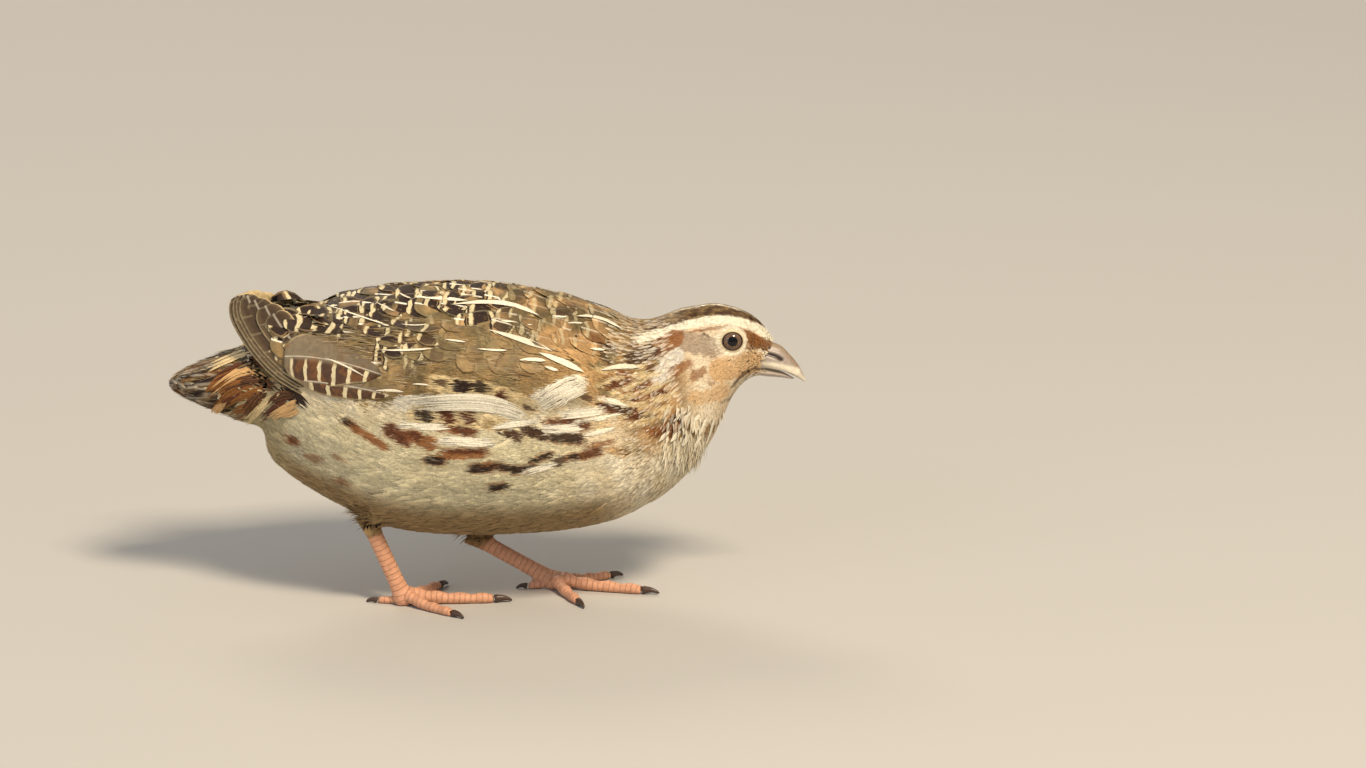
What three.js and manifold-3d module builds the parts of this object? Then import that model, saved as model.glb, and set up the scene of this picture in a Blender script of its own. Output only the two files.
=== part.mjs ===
// A life-size common quail hen, standing still in the middle of a slow walking step.
// Millimetres, +X towards the bill, +Y towards the bird's left, +Z up, with the floor at Z = 0.
// The plumage is modelled as its outer surface: trunk, neck, head, wings and tail are the shape of
// the coat out to the feather tips, and the bill, eyes, tarsi, toes and claws are the bare parts.
import * as THREE from "three";
import { mergeVertices } from "three/addons/utils/BufferGeometryUtils.js";
import Module from "manifold-3d";

const wasm = await Module();
wasm.setup();

// Driving sizes
const GAP = 0.3; // clearance between two neighbouring pieces
const TRUNK_HALF_WIDTH = 30;
const BODY_SIDES = 26;
const EYE_RADIUS = 4.0;
const EYE_CENTRE = { x: 70.4, y: 6.1, z: 75.8 };
const EYE_SIDES = 14;
const TARSUS_DEPTH = 5.0; // front to back
const TARSUS_WIDTH = 3.6; // side to side
const TARSUS_SIDES = 10;
const TARSUS_STEPS = 9;
const TOE_SIDES = 8;
const CLAW_SIDES = 6;
const PAD_RADIUS = 3.0; // the ball of the foot, where the toes meet
const PAD_HEIGHT = 2.3; // its centre above the floor

// The body's outline in the middle plane, from rump to face. Each station is a slanted section
// through a top and a bottom point, with its half width and the height share where it is widest.
const BODY = [
  { top: [-58.4, 74.8], bottom: [-59.6, 43.8], half: 10.5, widest: 0.5 },
  { top: [-55.6, 78.2], bottom: [-57.6, 39.6], half: 14.5, widest: 0.5 },
  { top: [-50.4, 81.8], bottom: [-53.2, 35.6], half: 18.5, widest: 0.49 },
  { top: [-43.6, 85.1], bottom: [-47.2, 31.6], half: 22.5, widest: 0.48 },
  { top: [-35.2, 88.1], bottom: [-38.8, 27.0], half: 26.0, widest: 0.47 },
  { top: [-23.0, 89.9], bottom: [-25.6, 21.0], half: 28.8, widest: 0.46 },
  { top: [-8.4, 90.7], bottom: [-8.4, 18.8], half: TRUNK_HALF_WIDTH, widest: 0.46 },
  { top: [8.4, 89.8], bottom: [8.4, 19.0], half: TRUNK_HALF_WIDTH, widest: 0.46 },
  { top: [25.0, 86.4], bottom: [24.4, 20.2], half: 28.2, widest: 0.46 },
  { top: [35.8, 82.8], bottom: [38.6, 23.2], half: 24.4, widest: 0.46 },
  { top: [43.0, 80.1], bottom: [49.4, 28.4], half: 20.0, widest: 0.47 },
  { top: [48.8, 80.2], bottom: [57.2, 35.0], half: 16.2, widest: 0.5 },
  { top: [56.0, 83.2], bottom: [63.6, 43.2], half: 13.0, widest: 0.52 },
  { top: [64.6, 84.8], bottom: [67.8, 51.2], half: 11.0, widest: 0.54 },
  { top: [72.8, 83.1], bottom: [70.2, 57.4], half: 9.3, widest: 0.52 },
  { top: [78.2, 79.8], bottom: [73.2, 61.6], half: 6.9, widest: 0.5 },
  { top: [82.5, 74.7], bottom: [76.3, 63.9], half: 3.9, widest: 0.45 },
];
const NECK_START = 9.5; // station where trunk and neck part
const HEAD_START = 12.6; // station where neck and head part
const TRUNK_RINGS = 2.4; // rings of facets per station
const NECK_RINGS = 2.4;
const HEAD_RINGS = 3.4;
const TAIL_RINGS = 2.4;
const BILL_RINGS = 2;

// Feathered tail, from its base under the wing tips to the tips of the tail feathers
const TAIL = [
  { top: [-60.4, 73.8], bottom: [-61.2, 49.8], half: 12.0, widest: 0.55 },
  { top: [-67.2, 71.4], bottom: [-67.4, 51.6], half: 11.4, widest: 0.6 },
  { top: [-73.6, 69.2], bottom: [-73.9, 54.2], half: 10.2, widest: 0.62 },
  { top: [-79.2, 66.9], bottom: [-79.6, 56.8], half: 8.0, widest: 0.62 },
  { top: [-83.8, 64.8], bottom: [-84.2, 59.0], half: 5.2, widest: 0.6 },
  { top: [-86.6, 62.8], bottom: [-86.8, 61.2], half: 1.8, widest: 0.5 },
];

// Bill: culmen and cutting edge above, cutting edge and lower outline below
const UPPER_BILL = [
  { top: [82.9, 74.4], bottom: [78.3, 66.6], half: 3.3, widest: 0.3 },
  { top: [85.4, 71.6], bottom: [81.4, 66.1], half: 2.9, widest: 0.28 },
  { top: [87.8, 68.9], bottom: [84.9, 65.3], half: 2.3, widest: 0.26 },
  { top: [89.6, 66.4], bottom: [87.6, 64.1], half: 1.5, widest: 0.3 },
  { top: [90.7, 64.1], bottom: [89.7, 62.9], half: 0.75, widest: 0.4 },
  { top: [91.2, 62.6], bottom: [90.8, 62.2], half: 0.3, widest: 0.5 },
];
const LOWER_BILL = [
  { top: [78.0, 66.2], bottom: [76.9, 64.1], half: 3.0, widest: 0.75 },
  { top: [81.4, 65.7], bottom: [81.0, 63.8], half: 2.5, widest: 0.75 },
  { top: [84.7, 64.9], bottom: [84.4, 63.5], half: 1.8, widest: 0.75 },
  { top: [87.0, 63.8], bottom: [86.8, 63.1], half: 0.8, widest: 0.7 },
  { top: [87.9, 63.3], bottom: [87.8, 63.0], half: 0.3, widest: 0.5 },
];
const BILL_SIDES = 16;
const TAIL_SIDES = 18;

// Folded wing, from the bend at the shoulder to the tips of the primaries. Each station has its
// upper and lower edge, written for the right wing as [x, distance from the middle plane, z], and
// how far the outer and the inner face stand out from the straight line between the edges.
const WING = [
  { upper: [32.6, 23.6, 71.4], lower: [32.6, 25.8, 68.0], outer: 0.5, inner: -1.0 },
  { upper: [28.0, 22.6, 76.6], lower: [28.4, 29.0, 65.0], outer: 2.0, inner: -5.0 },
  { upper: [19.0, 20.6, 81.0], lower: [19.4, 31.0, 64.2], outer: 3.2, inner: -7.0 },
  { upper: [4.0, 18.6, 83.8], lower: [4.4, 32.2, 65.0], outer: 3.8, inner: -7.0 },
  { upper: [-14.0, 16.8, 84.8], lower: [-13.0, 32.2, 65.4], outer: 4.0, inner: -7.0 },
  { upper: [-31.0, 13.8, 84.4], lower: [-29.0, 29.6, 63.6], outer: 4.2, inner: -7.0 },
  { upper: [-45.0, 9.8, 85.2], lower: [-42.8, 24.0, 60.0], outer: 4.0, inner: -4.0 },
  { upper: [-55.0, 6.2, 86.4], lower: [-54.6, 16.4, 65.0], outer: 3.2, inner: 0.8 },
  { upper: [-63.4, 4.2, 87.7], lower: [-64.2, 10.4, 74.2], outer: 2.4, inner: 0.8 },
  { upper: [-69.4, 3.8, 86.8], lower: [-70.0, 6.6, 80.0], outer: 1.4, inner: 0.3 },
  { upper: [-71.6, 4.2, 85.8], lower: [-71.9, 5.2, 83.4], outer: 0.7, inner: -0.1 },
];
const PRIMARIES_START = 6.2; // station where the flight feathers leave the covered wing
const LEFT_WING_DROOP = 3.2; // the far wing is carried lower, by this much at its tip
const WING_ARC_POINTS = 8;
const WING_RINGS = 3;

// Legs. The right one carries the weight behind, the left one reaches forward. Points are written
// as [x, distance from the middle plane, z], headings in degrees towards the bird's left.
const LEGS = {
  right: {
    side: -1,
    knee: [-26.0, 15.0, 41.0],
    ankle: [-31.0, 12.2, 24.6],
    hub: [-21.8, 10.0, 0],
    heading: 4,
  },
  left: {
    side: 1,
    knee: [16.0, 14.0, 35.0],
    ankle: [-2.6, 10.5, 14.0],
    hub: [20.3, 6.0, 0],
    heading: -13,
  },
};
const THIGH = { kneeRadius: 11.0, ankleRadius: 3.4, sides: 16, steps: 6 };

// Toes, with headings in degrees from the middle toe towards the outer side of the foot
const TOES = {
  middle: { length: 25.5, heading: 0, radius: 2.05, phalanges: 4, claw: 4.8 },
  inner: { length: 18.0, heading: -54, radius: 1.9, phalanges: 3, claw: 4.2 },
  outer: { length: 18.4, heading: 44, radius: 1.8, phalanges: 4, claw: 4.0 },
  hind: { length: 7.4, heading: -164, radius: 1.4, phalanges: 2, claw: 3.0 },
};
const TOE_STEPS_PER_PHALANX = 2;
const CLAW_STEPS = 4;

// A scalar or point read between stations along a smooth curve
function smoothReader(values) {
  const curve = new THREE.CatmullRomCurve3(
    values.map((v) => new THREE.Vector3(...v)),
    false,
    "catmullrom",
    0.5,
  );
  return (station) => curve.getPoint(station / (values.length - 1));
}

// A slanted elliptical ring through the top and bottom points of a station, grown by inflate
function outlineRing(read, station, sides, inflate) {
  const top = read.top(station);
  const bottom = read.bottom(station);
  const { x: half, y: widest } = read.shape(station);
  const up = top.clone().sub(bottom);
  const height = up.length();
  up.normalize();
  const centre = bottom.clone().addScaledVector(up, height * widest);
  const above = height * (1 - widest) + inflate;
  const below = height * widest + inflate;
  return Array.from({ length: sides }, (_, i) => {
    const angle = (2 * Math.PI * i) / sides;
    const lift = Math.cos(angle) * (Math.cos(angle) > 0 ? above : below);
    return centre
      .clone()
      .addScaledVector(up, lift)
      .add(new THREE.Vector3(0, -Math.sin(angle) * (half + inflate), 0));
  });
}

function outlineReader(stations) {
  return {
    last: stations.length - 1,
    top: smoothReader(stations.map((s) => [s.top[0], 0, s.top[1]])),
    bottom: smoothReader(stations.map((s) => [s.bottom[0], 0, s.bottom[1]])),
    shape: smoothReader(stations.map((s) => [s.half, s.widest, 0])),
  };
}

// A closed skin over rings of equal count, with a fan on each end
function skinOver(rings) {
  const sides = rings[0].length;
  const points = rings.flat();
  const index = [];
  for (let r = 0; r + 1 < rings.length; r++) {
    for (let i = 0; i < sides; i++) {
      const next = (i + 1) % sides;
      const [a, b] = [r * sides + i, r * sides + next];
      const [c, d] = [a + sides, b + sides];
      index.push(a, b, c, b, d, c);
    }
  }
  for (const [ring, outwards] of [
    [0, false],
    [rings.length - 1, true],
  ]) {
    const hub = points.length;
    const middle = new THREE.Vector3();
    rings[ring].forEach((p) => middle.add(p));
    points.push(middle.divideScalar(sides));
    for (let i = 0; i < sides; i++) {
      const [a, b] = [ring * sides + i, ring * sides + ((i + 1) % sides)];
      index.push(...(outwards ? [a, b, hub] : [b, a, hub]));
    }
  }
  const geometry = new THREE.BufferGeometry().setFromPoints(points);
  geometry.setIndex(index);
  return geometry;
}

function steps(from, to, count) {
  return Array.from({ length: count + 1 }, (_, i) => from + ((to - from) * i) / count);
}

function outlineLoft(stations, { from = 0, to, rings, sides, inflate = 0 }) {
  const read = outlineReader(stations);
  const end = to ?? read.last;
  const count = Math.round((end - from) * rings);
  return skinOver(steps(from, end, count).map((s) => outlineRing(read, s, sides, inflate)));
}

// Closed solids, for the cuts that keep neighbours apart
function solid(geometry) {
  const bare = geometry.clone();
  bare.deleteAttribute("normal");
  bare.deleteAttribute("uv");
  const merged = mergeVertices(bare, 1e-4);
  const all = merged.index.array;
  const triangles = [];
  for (let i = 0; i < all.length; i += 3) {
    const [a, b, c] = [all[i], all[i + 1], all[i + 2]];
    if (a !== b && b !== c && a !== c) triangles.push(a, b, c);
  }
  const made = new wasm.Manifold(
    new wasm.Mesh({
      numProp: 3,
      vertProperties: Float32Array.from(merged.attributes.position.array),
      triVerts: Uint32Array.from(triangles),
    }),
  );
  if (made.volume() >= 0) return made;
  return new wasm.Manifold(
    new wasm.Mesh({
      numProp: 3,
      vertProperties: Float32Array.from(merged.attributes.position.array),
      triVerts: Uint32Array.from(triangles).reverse(),
    }),
  );
}

function largest(body) {
  const pieces = body.decompose();
  return pieces.reduce((best, piece) => (piece.volume() > best.volume() ? piece : best));
}

function geometryOf(body) {
  const mesh = body.getMesh();
  const positions = new Float32Array(mesh.numVert * 3);
  for (let i = 0; i < mesh.numVert; i++) {
    positions.set(mesh.vertProperties.subarray(i * mesh.numProp, i * mesh.numProp + 3), i * 3);
  }
  const geometry = new THREE.BufferGeometry();
  geometry.setAttribute("position", new THREE.BufferAttribute(positions, 3));
  geometry.setIndex(new THREE.BufferAttribute(Uint32Array.from(mesh.triVerts), 1));
  geometry.computeVertexNormals();
  return geometry;
}

// Finishes
const finish = (color, roughness) =>
  new THREE.MeshStandardMaterial({ color, roughness, metalness: 0 });
const MATERIALS = {
  back: finish(0x8a7350, 0.85),
  head: finish(0xa98a62, 0.85),
  neck: finish(0xc9ab7c, 0.85),
  wing: finish(0x93805f, 0.8),
  flight: finish(0x5d4b3a, 0.75),
  tail: finish(0x7b5a37, 0.8),
  belly: finish(0xe2d6b8, 0.9),
  horn: finish(0xa8978c, 0.4),
  legSkin: finish(0xd68a6c, 0.5),
  claw: finish(0x6b5a4c, 0.4),
  eye: finish(0x2c1a10, 0.08),
};

const bird = new THREE.Group();

function addPiece(name, body, material) {
  const mesh = new THREE.Mesh(geometryOf(body), material);
  mesh.name = name;
  bird.add(mesh);
}

// Head, neck and trunk: one outline, parted across by thin gaps
const cutShare = 0.05; // of a station, about the gap at its narrowest side
const eyeSocket = (side) =>
  solid(
    new THREE.SphereGeometry(EYE_RADIUS + GAP, EYE_SIDES, EYE_SIDES / 2)
      .rotateX(Math.PI / 2)
      .translate(EYE_CENTRE.x, side * EYE_CENTRE.y, EYE_CENTRE.z),
  );
const eyeball = (side) =>
  solid(
    new THREE.SphereGeometry(EYE_RADIUS, EYE_SIDES, EYE_SIDES / 2)
      .rotateX(Math.PI / 2)
      .translate(EYE_CENTRE.x, side * EYE_CENTRE.y, EYE_CENTRE.z),
  );
const headOptions = { from: HEAD_START + cutShare, rings: HEAD_RINGS, sides: BODY_SIDES };
const neckOptions = {
  from: NECK_START + cutShare,
  to: HEAD_START,
  rings: NECK_RINGS,
  sides: BODY_SIDES,
};
const trunkOptions = { to: NECK_START, rings: TRUNK_RINGS, sides: BODY_SIDES };
const head = solid(outlineLoft(BODY, headOptions))
  .subtract(eyeSocket(1))
  .subtract(eyeSocket(-1));
addPiece("head", head, MATERIALS.head);
addPiece("neck", solid(outlineLoft(BODY, neckOptions)), MATERIALS.neck);
addPiece("trunk", solid(outlineLoft(BODY, trunkOptions)), MATERIALS.belly);
addPiece("eye_right", eyeball(-1), MATERIALS.eye);
addPiece("eye_left", eyeball(1), MATERIALS.eye);

// Everything that a wing or thigh has to keep clear of
const trunkClearance = solid(outlineLoft(BODY, { ...trunkOptions, inflate: GAP }));

// Bill
const billOptions = { rings: BILL_RINGS, sides: BILL_SIDES };
addPiece("bill_upper", solid(outlineLoft(UPPER_BILL, billOptions)), MATERIALS.horn);
addPiece("bill_lower", solid(outlineLoft(LOWER_BILL, billOptions)), MATERIALS.horn);

// Wings
const wingReader = {
  last: WING.length - 1,
  upper: smoothReader(WING.map((s) => s.upper)),
  lower: smoothReader(WING.map((s) => s.lower)),
  bulge: smoothReader(WING.map((s) => [s.outer, s.inner, 0])),
};

function wingRing(station, side) {
  const upper = wingReader.upper(station);
  const lower = wingReader.lower(station);
  const droop = side > 0 ? (LEFT_WING_DROOP * station) / wingReader.last : 0;
  upper.z -= droop;
  lower.z -= droop;
  const { x: outer, y: inner } = wingReader.bulge(station);
  upper.y *= side;
  lower.y *= side;
  const chord = upper.clone().sub(lower).normalize();
  const outwards = new THREE.Vector3(0, side, 0);
  outwards.addScaledVector(chord, -outwards.dot(chord)).normalize();
  const face = (share, height) =>
    lower
      .clone()
      .lerp(upper, share)
      .addScaledVector(outwards, height * Math.sin(Math.PI * share) ** 0.8);
  const shares = steps(0, 1, WING_ARC_POINTS);
  return [
    ...shares.map((b) => face(b, outer)),
    ...shares
      .slice(1, -1)
      .reverse()
      .map((b) => face(b, inner)),
  ];
}

function wingLoft(side, from, to) {
  const count = Math.round((to - from) * WING_RINGS);
  return largest(
    solid(skinOver(steps(from, to, count).map((s) => wingRing(s, side)))).subtract(
      trunkClearance,
    ),
  );
}

const WING_GAP_SHARE = 0.04; // of a station, about the gap between coverts and flight feathers
for (const [name, side] of [
  ["right", -1],
  ["left", 1],
]) {
  addPiece("wing_" + name, wingLoft(side, 0, PRIMARIES_START), MATERIALS.wing);
  addPiece(
    "primaries_" + name,
    wingLoft(side, PRIMARIES_START + WING_GAP_SHARE, wingReader.last),
    MATERIALS.flight,
  );
}
const wingClearance = [-1, 1].map((side) =>
  solid(
    skinOver(steps(0, wingReader.last, wingReader.last * 2).map((s) => wingRing(s, side))),
  ),
);

// Tail
const tail = wingClearance.reduce(
  (left, wing) => left.subtract(wing),
  solid(outlineLoft(TAIL, { rings: TAIL_RINGS, sides: TAIL_SIDES })),
);
addPiece("tail", largest(tail), MATERIALS.tail);

// A limb along a centreline: an elliptical tube whose bottom is pressed flat on the floor
function limb(centres, radii, sides, across = 1) {
  const rings = centres.map((centre, i) => {
    const before = centres[Math.max(i - 1, 0)];
    const after = centres[Math.min(i + 1, centres.length - 1)];
    const along = after.clone().sub(before).normalize();
    const sideways = new THREE.Vector3(0, 0, 1).cross(along).normalize();
    const up = along.clone().cross(sideways);
    return Array.from({ length: sides }, (_, k) => {
      const angle = (2 * Math.PI * k) / sides;
      const point = centre
        .clone()
        .addScaledVector(sideways, Math.cos(angle) * radii[i] * across)
        .addScaledVector(up, Math.sin(angle) * radii[i]);
      point.z = Math.max(point.z, 0);
      return point;
    });
  });
  return solid(skinOver(rings));
}

function legPoint([x, offset, z], side) {
  return new THREE.Vector3(x, side * offset, z);
}

function thigh(leg, grow = 0) {
  const knee = legPoint(leg.knee, leg.side);
  const ankle = legPoint(leg.ankle, leg.side);
  const shares = steps(0, 1, THIGH.steps);
  const radii = shares.map(
    (s) => grow + THREE.MathUtils.lerp(THIGH.kneeRadius, THIGH.ankleRadius, s ** 0.85),
  );
  return limb(
    shares.map((s) => knee.clone().lerp(ankle, s)),
    radii,
    THIGH.sides,
    0.85,
  );
}

function tarsus(leg, grow = 0) {
  const ankle = legPoint(leg.ankle, leg.side);
  const foot = legPoint([leg.hub[0], leg.hub[1], PAD_HEIGHT], leg.side);
  const stretch = ankle.clone().sub(foot).normalize();
  const start = ankle.clone().addScaledVector(stretch, 1.6);
  const shares = steps(0, 1, TARSUS_STEPS);
  const radii = shares.map((s) => {
    const heel = 0.34 * Math.exp(-((s / 0.12) ** 2));
    const ball = 0.16 * Math.exp(-(((1 - s) / 0.14) ** 2));
    return grow + (TARSUS_DEPTH / 2) * (0.94 + heel + ball);
  });
  return limb(
    shares.map((s) => start.clone().lerp(foot, s)),
    radii,
    TARSUS_SIDES,
    TARSUS_WIDTH / TARSUS_DEPTH,
  );
}

// The ball of the foot, pressed flat on the floor
function pad(leg, grow = 0) {
  const ball = new THREE.SphereGeometry(PAD_RADIUS + grow, 12, 8).rotateX(Math.PI / 2);
  ball.translate(leg.hub[0], leg.side * leg.hub[1], PAD_HEIGHT);
  const place = ball.attributes.position;
  for (let i = 0; i < place.count; i++) place.setZ(i, Math.max(place.getZ(i), 0));
  return solid(ball);
}

function toePath(leg, toe) {
  const turn = THREE.MathUtils.degToRad(leg.heading + toe.heading * leg.side);
  const heading = new THREE.Vector3(Math.cos(turn), Math.sin(turn), 0);
  const count = toe.phalanges * TOE_STEPS_PER_PHALANX;
  const hub = new THREE.Vector3(leg.hub[0], leg.side * leg.hub[1], 0);
  const shares = steps(0, 1, count);
  const radii = shares.map((s) => {
    const knuckle = 0.1 * Math.cos(2 * Math.PI * toe.phalanges * s);
    return toe.radius * (1 - 0.28 * s) * (1 - knuckle);
  });
  const centres = shares.map((s, i) => {
    const arch = 1.4 * Math.exp(-((s / 0.3) ** 2));
    return hub
      .clone()
      .addScaledVector(heading, s * toe.length)
      .setZ(radii[i] * 0.86 + arch);
  });
  return { centres, radii, heading, end: centres.at(-1), endRadius: radii.at(-1) };
}

function claw(path, toe) {
  const shares = steps(0, 1, CLAW_STEPS);
  const start = path.end.clone().addScaledVector(path.heading, GAP);
  const centres = shares.map((s) =>
    start
      .clone()
      .addScaledVector(path.heading, toe.claw * s)
      .add(new THREE.Vector3(0, 0, 0.35 * Math.sin(Math.PI * s) - 0.55 * s * s)),
  );
  const radii = shares.map((s) => path.endRadius * 0.72 * (1 - s) ** 0.7 + 0.22);
  return limb(centres, radii, CLAW_SIDES, 0.85);
}

for (const [name, leg] of Object.entries(LEGS)) {
  const shank = tarsus(leg).add(pad(leg));
  const shankClearance = tarsus(leg, GAP).add(pad(leg, GAP));
  const upperLeg = thigh(leg).subtract(trunkClearance).subtract(shankClearance);
  addPiece("thigh_" + name, largest(upperLeg), MATERIALS.belly);
  addPiece("tarsus_" + name, largest(shank.subtract(trunkClearance)), MATERIALS.legSkin);
  let taken = shankClearance;
  for (const [toeName, toe] of Object.entries(TOES)) {
    const path = toePath(leg, toe);
    const body = largest(limb(path.centres, path.radii, TOE_SIDES).subtract(taken));
    addPiece(`toe_${toeName}_${name}`, body, MATERIALS.legSkin);
    addPiece(`claw_${toeName}_${name}`, claw(path, toe), MATERIALS.claw);
    taken = taken.add(
      limb(
        path.centres,
        path.radii.map((r) => r + GAP),
        TOE_SIDES,
      ),
    );
  }
}

// The frame's origin: the middle of the bird's box, on the floor
const box = new THREE.Box3().setFromObject(bird);
const middle = box.getCenter(new THREE.Vector3());
bird.position.set(-middle.x, -middle.y, -box.min.z);
bird.updateMatrixWorld(true);

export default bird;
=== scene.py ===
"""A life-size coturnix quail hen in full plumage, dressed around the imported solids.

Lengths inside the classes are millimetres on the drawing datum, whose x = 0 lies DATUM_SHIFT ahead
of the frame's origin. Everything handed to Blender is in metres, in the frame of the solids.
"""

import logging
import math
from collections.abc import Callable
from dataclasses import dataclass, replace
from enum import Enum, IntEnum
from functools import partial

import bmesh
import bpy
import numpy as np
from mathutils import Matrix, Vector
from mathutils.bvhtree import BVHTree


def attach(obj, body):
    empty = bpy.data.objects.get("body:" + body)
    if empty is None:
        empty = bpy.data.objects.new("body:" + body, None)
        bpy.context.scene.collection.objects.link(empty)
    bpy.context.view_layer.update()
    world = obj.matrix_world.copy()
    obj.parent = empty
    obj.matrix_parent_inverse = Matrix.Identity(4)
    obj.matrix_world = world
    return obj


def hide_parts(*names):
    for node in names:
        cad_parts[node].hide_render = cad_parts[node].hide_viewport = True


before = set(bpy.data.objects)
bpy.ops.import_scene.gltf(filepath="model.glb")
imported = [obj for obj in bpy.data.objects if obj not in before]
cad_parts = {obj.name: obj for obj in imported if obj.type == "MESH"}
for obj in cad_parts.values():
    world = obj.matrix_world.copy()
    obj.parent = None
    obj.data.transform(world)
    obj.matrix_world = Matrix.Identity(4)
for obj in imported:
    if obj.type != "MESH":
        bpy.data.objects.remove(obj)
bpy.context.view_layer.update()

LOG = logging.getLogger("quail")
MM = 0.001
MM_PER_M = 1000.0
DATUM_SHIFT = 2.2
SEED = 20117
POOL_SITES = 170_000
MARK_SITES = 120_000
PIECE_TRIANGLES = 150_000
FLESH = ("head", "neck", "trunk", "wing_right", "wing_left", "thigh_right", "thigh_left")
FEET = tuple(
    f"{part}_{side}"
    for side in ("right", "left")
    for part in ("tarsus", "toe_middle", "toe_inner", "toe_outer", "toe_hind")
)
FLIGHT = ("primaries_right", "primaries_left", "tail")
BILL = ("bill_upper", "bill_lower")
EYES = ("eye_right", "eye_left")
EYE_CENTRE = (70.4, 6.1, 75.8)
EYE_PLACE = (70.3, 12.1)
EYE_BARE = 2.95


# Colour


def linear(code: str) -> np.ndarray:
    """Turns an sRGB hex value into linear light.

    Args:
        code: Six hex digits, such as "C8A060".

    Returns:
        Three linear channels.
    """
    srgb = np.array([int(code[i : i + 2], 16) for i in (0, 2, 4)]) / 255.0
    return np.where(srgb <= 0.04045, srgb / 12.92, ((srgb + 0.055) / 1.055) ** 2.4)


class Tint(Enum):
    """Feather and skin colours of the hen, as sRGB hex; SHADE_DOWN is also the brown of painted shade."""

    CREAM = "F0E6CC"
    PALE_BUFF = "D8C08F"
    BUFF = "C79E69"
    SAND = "93784C"
    GREY_SAND = "7E6C46"
    RUFOUS = "8E5A2E"
    CHESTNUT = "5A2F17"
    UMBER = "4A3220"
    BLACK_BROWN = "2A190E"
    NEAR_BLACK = "35261A"
    GREY_WHITE = "D6CFC0"
    CHEEK = "D2AB7A"
    OCHRE = "7E4F20"
    # Dusky brown of thighs and culmen, also painted shade under the belly, at the hocks and between the
    # throat hackles.
    DOWN = "B2A075"
    SHADE_DOWN = "86693F"
    LEG = "D49C7A"
    EAR = "A38F78"
    WHITE = "E9E1CA"
    PRIMARY = "44321E"
    TERTIAL = "7C6E57"
    FLANK = "C8BE99"

    @property
    def rgb(self) -> np.ndarray:
        """Linear channels of the tint."""
        return linear(self.value)


def smoothstep(low: float, high: float, value: np.ndarray) -> np.ndarray:
    """Smooth ramp from 0 at low to 1 at high."""
    share = np.clip((value - low) / (high - low), 0.0, 1.0)
    return share * share * (3.0 - 2.0 * share)


def blend(first: np.ndarray | Tint, second: np.ndarray | Tint, share: np.ndarray) -> np.ndarray:
    """Mixes two sets of colours or vectors.

    Args:
        first: Rows, or one tint for all of them.
        second: The same.
        share: The second's share in each row.

    Returns:
        The mixed rows.
    """
    first, second = (side.rgb if isinstance(side, Tint) else side for side in (first, second))
    share = np.asarray(share)[..., None]
    return first * (1.0 - share) + second * share


def unit(vectors: np.ndarray) -> np.ndarray:
    """Vectors scaled to length one."""
    length = np.linalg.norm(vectors, axis=-1, keepdims=True)
    return vectors / np.maximum(length, 1e-9)


# The body's shape and the lie of its coat


@dataclass(frozen=True)
class Station:
    """One slanted section of the body: its top and bottom in the middle plane and half width."""

    top: tuple[float, float]
    bottom: tuple[float, float]
    half: float


BODY_STATIONS = (
    Station((-58.4, 74.8), (-59.6, 43.8), 10.5),
    Station((-55.6, 78.2), (-57.6, 39.6), 14.5),
    Station((-50.4, 81.8), (-53.2, 35.6), 18.5),
    Station((-43.6, 85.1), (-47.2, 31.6), 22.5),
    Station((-35.2, 88.1), (-38.8, 27.0), 26.0),
    Station((-23.0, 89.9), (-25.6, 21.0), 28.8),
    Station((-8.4, 90.7), (-8.4, 18.8), 30.0),
    Station((8.4, 89.8), (8.4, 19.0), 30.0),
    Station((25.0, 86.4), (24.4, 20.2), 28.2),
    Station((35.8, 82.8), (38.6, 23.2), 24.4),
    Station((43.0, 80.1), (49.4, 28.4), 20.0),
    Station((48.8, 80.2), (57.2, 35.0), 16.2),
    Station((56.0, 83.2), (63.6, 43.2), 13.0),
    Station((64.6, 84.8), (67.8, 51.2), 11.0),
    Station((72.8, 83.1), (70.2, 57.4), 9.3),
    Station((78.2, 79.8), (73.2, 61.6), 6.9),
    Station((82.5, 74.7), (76.3, 63.9), 3.9),
)


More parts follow.
